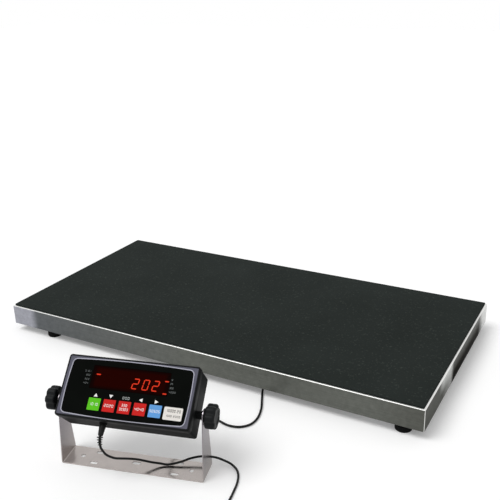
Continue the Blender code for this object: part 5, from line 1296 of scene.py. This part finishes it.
index = add_node(relief_tree, "GeometryNodeInputIndex")
smaller = add_node(relief_tree, "ShaderNodeMath", {
    0: index.outputs[0], 1: sizes["Shrink"],
}, operation="MULTIPLY")
scale = add_node(relief_tree, "ShaderNodeMath", {0: 1.0, 1: smaller.outputs[0]}, operation="SUBTRACT")
ribs = add_node(relief_tree, "GeometryNodeInstanceOnPoints", {
    "Points": spots.outputs[0], "Instance": rib.outputs[0], "Rotation": spots.outputs["Rotation"],
    "Scale": scale.outputs[0],
})
end_tree(relief_tree, ribs.outputs[0], sheath)
print("relief tree ready")

# %% Plug and socket
# distance down the spine and radius, in millimetres: pin, body with its grip groove, and the relief's core
PLUG = [(-9.0, 2.3), (-8.7, 2.7), (0, 2.7), (0, 5.4), (0.3, 5.9), (1.2, 6.2), (6.0, 6.0), (8.4, 5.85),
        (8.7, 5.5), (9.3, 5.5), (9.6, 5.75), (15.0, 5.15), (18.8, 4.75), (20.0, 4.3), (20.5, 3.2),
        (20.7, 2.8), (28.0, 2.6), (34.0, 2.4), (37.7, 2.25)]
RIB_STEP = 4.3

loops = []
for s, radius in PLUG:
    point, way = plug_spine(s * MM)
    side = (Vector((1, 0, 0)) - way * way.x).normalized()
    above = way.cross(side)
    loops.append([point + side * a + above * b for a, b in circle(radius * MM, 28)])
fitted("dc_plug_finished", loft(loops), sheath, HEAD, "head", "dc_plug", slot="cord_black")
rib_line = [HEAD @ plug_spine((20.5 + RIB_STEP * (0.64 + k / 8)) * MM)[0] for k in range(25)]
grown(relief_tree, "dc_plug_ribs", "head", seed_points(rib_line, joined=True), "cord_black", {
    "Count": 4, "Rib radius": 5.8 * MM, "Rib reach": 1.8 * MM, "Rib width": 2.0 * MM, "Shrink": 0.09,
}, sharp=60)
refined("dc_socket", housing_abs, 0.3 * MM, "black_plastic", body="head")
print("plug length:", PLUG_LENGTH + RELIEF_LENGTH)

# %% [markdown]
# The wall adaptor is a small black box in two halves, with a fine parting groove, a tapered relief and two
# nickel-plated blades.

# %% Wall adaptor
CASE_START, CASE_WIDTH, CASE_HEIGHT, CASE_CORNER, BLADE_OFF = 326.0, 50, 30, 6, 6.35 * MM
# distance along the case and how far its outline is drawn in, in millimetres
CASE = [(0, 3.0), (0.15, 1.9), (0.9, 0.8), (1.9, 0.2), (3.0, 0.0), (49.6, 0.0), (49.8, 0.5), (50.4, 0.5),
        (50.6, 0.0), (71.0, 0.0), (72.1, 0.2), (73.1, 0.8), (73.85, 1.9), (74.0, 3.0)]
RELIEF_CONE = [(2.5, 304.0), (2.8, 304.3), (4.4, 318), (5.4, 325), (5.5, 328)]
LAST_RIB, CONE_RIB_STEP = 323.0, 3.2
BLADE = [(398, -3.25), (415.6, -3.25), (416.7, -2.4), (417, -1.2), (417, 1.2), (416.7, 2.4), (415.6, 3.25),
         (398, 3.25)]

# Nickel plate: warm white and nearly a mirror, with fine rubs of about 3 mm.
nickel = bloomed("nickel-plated brass", 400.0, 3.0, "B9B5AC", "D2CEC6", 0.18, 0.34)

loops = []
for x, inset in CASE:
    width, height = (CASE_WIDTH - 2 * inset) * MM, (CASE_HEIGHT - 2 * inset) * MM
    outline = rounded_rectangle(width, height, (CASE_CORNER - inset) * MM, 8, (ADAPTOR_Y, ADAPTOR_Z))
    loops.append(lay(outline, "X", (CASE_START + x) * MM))
adaptor = fitted("wall_adaptor_case", loft(loops), housing_abs, STAND, "base", "wall_adaptor",
                 slot="black_plastic")
cone = turned(RELIEF_CONE, "X", (ADAPTOR_Y, ADAPTOR_Z), 32)
relief = fitted("wall_adaptor_relief", cone, sheath, STAND, "base", slot="cord_black")
rib_line = [STAND @ Vector(((LAST_RIB - CONE_RIB_STEP * k) * MM, ADAPTOR_Y, ADAPTOR_Z)) for k in range(6)]
rib_seed = seed_points(rib_line, joined=True)
adaptor_ribs = grown(relief_tree, "wall_adaptor_ribs", "base", rib_seed, "cord_black", {
    "Count": 6, "Rib radius": 5.9 * MM, "Rib reach": 1.0 * MM, "Rib width": 1.0 * MM, "Shrink": 0.075,
}, sharp=60)
blades = bmesh.new()
for side in (-1, 1):
    y = ADAPTOR_Y + side * BLADE_OFF
    plate(blades, [(a * MM, ADAPTOR_Z + b * MM) for a, b in BLADE], y - 0.75 * MM, y + 0.75 * MM)
blades = fitted("wall_adaptor_blades", blades, nickel, STAND, "base", slot="zinc")
print("adaptor case:", CASE[-1][0], "mm long")

# %% [markdown]
# With the plug and the adaptor made, both cords now have their real length and diameter, where they leave
# the object and what is on their far end.

print("cords: 2")

# %% [markdown]
# Inside the head are two circuit boards. They show only if the head is opened, so they keep their CAD shape
# with a solder-mask finish: green lacquer over copper tracks, drawn as a fine grid.

# %% Circuit boards
# Solder mask: a glossy green lacquer, lighter over the tracks, which are drawn about 4 mm apart.
mask, tree, place = open_finish("green solder mask over copper")
tracks = add_node(tree, "ShaderNodeTexVoronoi", {"Vector": place, "Scale": 260.0}, distance="MANHATTAN")
wear = add_node(tree, "ShaderNodeTexNoise", {"Vector": place, "Scale": 50.0, "Detail": 3.0})
edge = add_node(tree, "ShaderNodeMapRange", {0: tracks.outputs["Distance"], 1: 0.25, 2: 0.4}).outputs[0]
tone = add_node(tree, "ShaderNodeMix", {0: edge, 6: linear("2F7A42"), 7: linear("1D5630")}, data_type="RGBA")
rough = add_node(tree, "ShaderNodeMapRange", {0: wear.outputs["Fac"], 3: 0.3, 4: 0.5})
close_finish(tree, {"Base Color": tone.outputs[2], "Roughness": rough.outputs[0]})
for board in ("display_board", "main_board"):
    nodes[board].data.materials.clear()
    nodes[board].data.materials.append(mask)
print("boards dressed: 2")

# %% [markdown]
# The head's back carries four housing screws and a bare foil plate. The frame's tubes are welded where they
# meet: a weld bead is a row of overlapping drops, so a tree sets drops along each seam.

# %% Screws and plate on the back
BACK_Y = 30.3 * MM

# Aluminium foil: rolled matt, so it is pale and even, with a grain of about 1.5 mm.
foil = bloomed("matt aluminium foil", 700.0, 2.0, "B6B8BA", "C8CACB", 0.38, 0.52)
onto_back = HEAD @ Matrix.Translation((0, BACK_Y, 0)) @ Matrix.Rotation(-math.pi / 2, 4, "X")
spots = [(x * MM, -(HEAD_MIDDLE + z) * MM, 0) for x in (-112, 112) for z in (-46, 46)]
grown(screw_tree, "housing_screws", "head", seed_points(spots), "zinc",
      {"Head radius": 3.2 * MM, "Head height": 1.7 * MM}, at=onto_back)
outline = rounded_rectangle(76 * MM, 38 * MM, 3 * MM, 6, (-38 * MM, 30 * MM))
foil_plate = plate(bmesh.new(), outline, BACK_Y - 0.02 * MM, BACK_Y + 0.25 * MM)
fitted("rating_plate", foil_plate, foil, HEAD, "head", slot="zinc")
print("housing screws:", len(spots))

# %% Tree: weld beads along seams
bead_tree, sizes = new_tree("weld beads", {"Bead length": 2.2 * MM, "Bead radius": 3 * MM})
line = add_node(bead_tree, "GeometryNodeMeshToCurve", {0: sizes["Geometry"]})
steps = add_node(bead_tree, "GeometryNodeCurveToPoints", {
    "Curve": line.outputs[0], "Length": sizes["Bead length"],
}, mode="LENGTH")
drop = add_node(bead_tree, "GeometryNodeMeshIcoSphere", {"Subdivisions": 2, "Radius": sizes["Bead radius"]})
drops = add_node(bead_tree, "GeometryNodeInstanceOnPoints", {
    "Points": steps.outputs[0], "Instance": drop.outputs[0],
})
end_tree(bead_tree, drops.outputs[0], tube_steel)

seams = bmesh.new()
for member in ("cross_member_left", "cross_member_right"):
    low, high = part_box(member)
    for x in (low.x, high.x):
        for y in (low.y, high.y):
            seams.edges.new([seams.verts.new((x, y, z)) for z in (low.z + 3 * MM, high.z - 3 * MM)])
seam_mesh = bpy.data.meshes.new("seams")
seams.to_mesh(seam_mesh)
seams.free()
beads = grown(bead_tree, "weld_beads", "base", seam_mesh, "frame_steel", {"Bead length": 2.4 * MM})
print("weld bead faces:", len(beads.data.polygons))

# %% Sizes and finish
dressed_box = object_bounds()
sizes = {
    "cad": [list(map(float, corner)) for corner in cad_box],
    "visual": [list(map(float, corner)) for corner in dressed_box],
}
print("dressed box:", [round(b - a, 4) for a, b in zip(*dressed_box)])
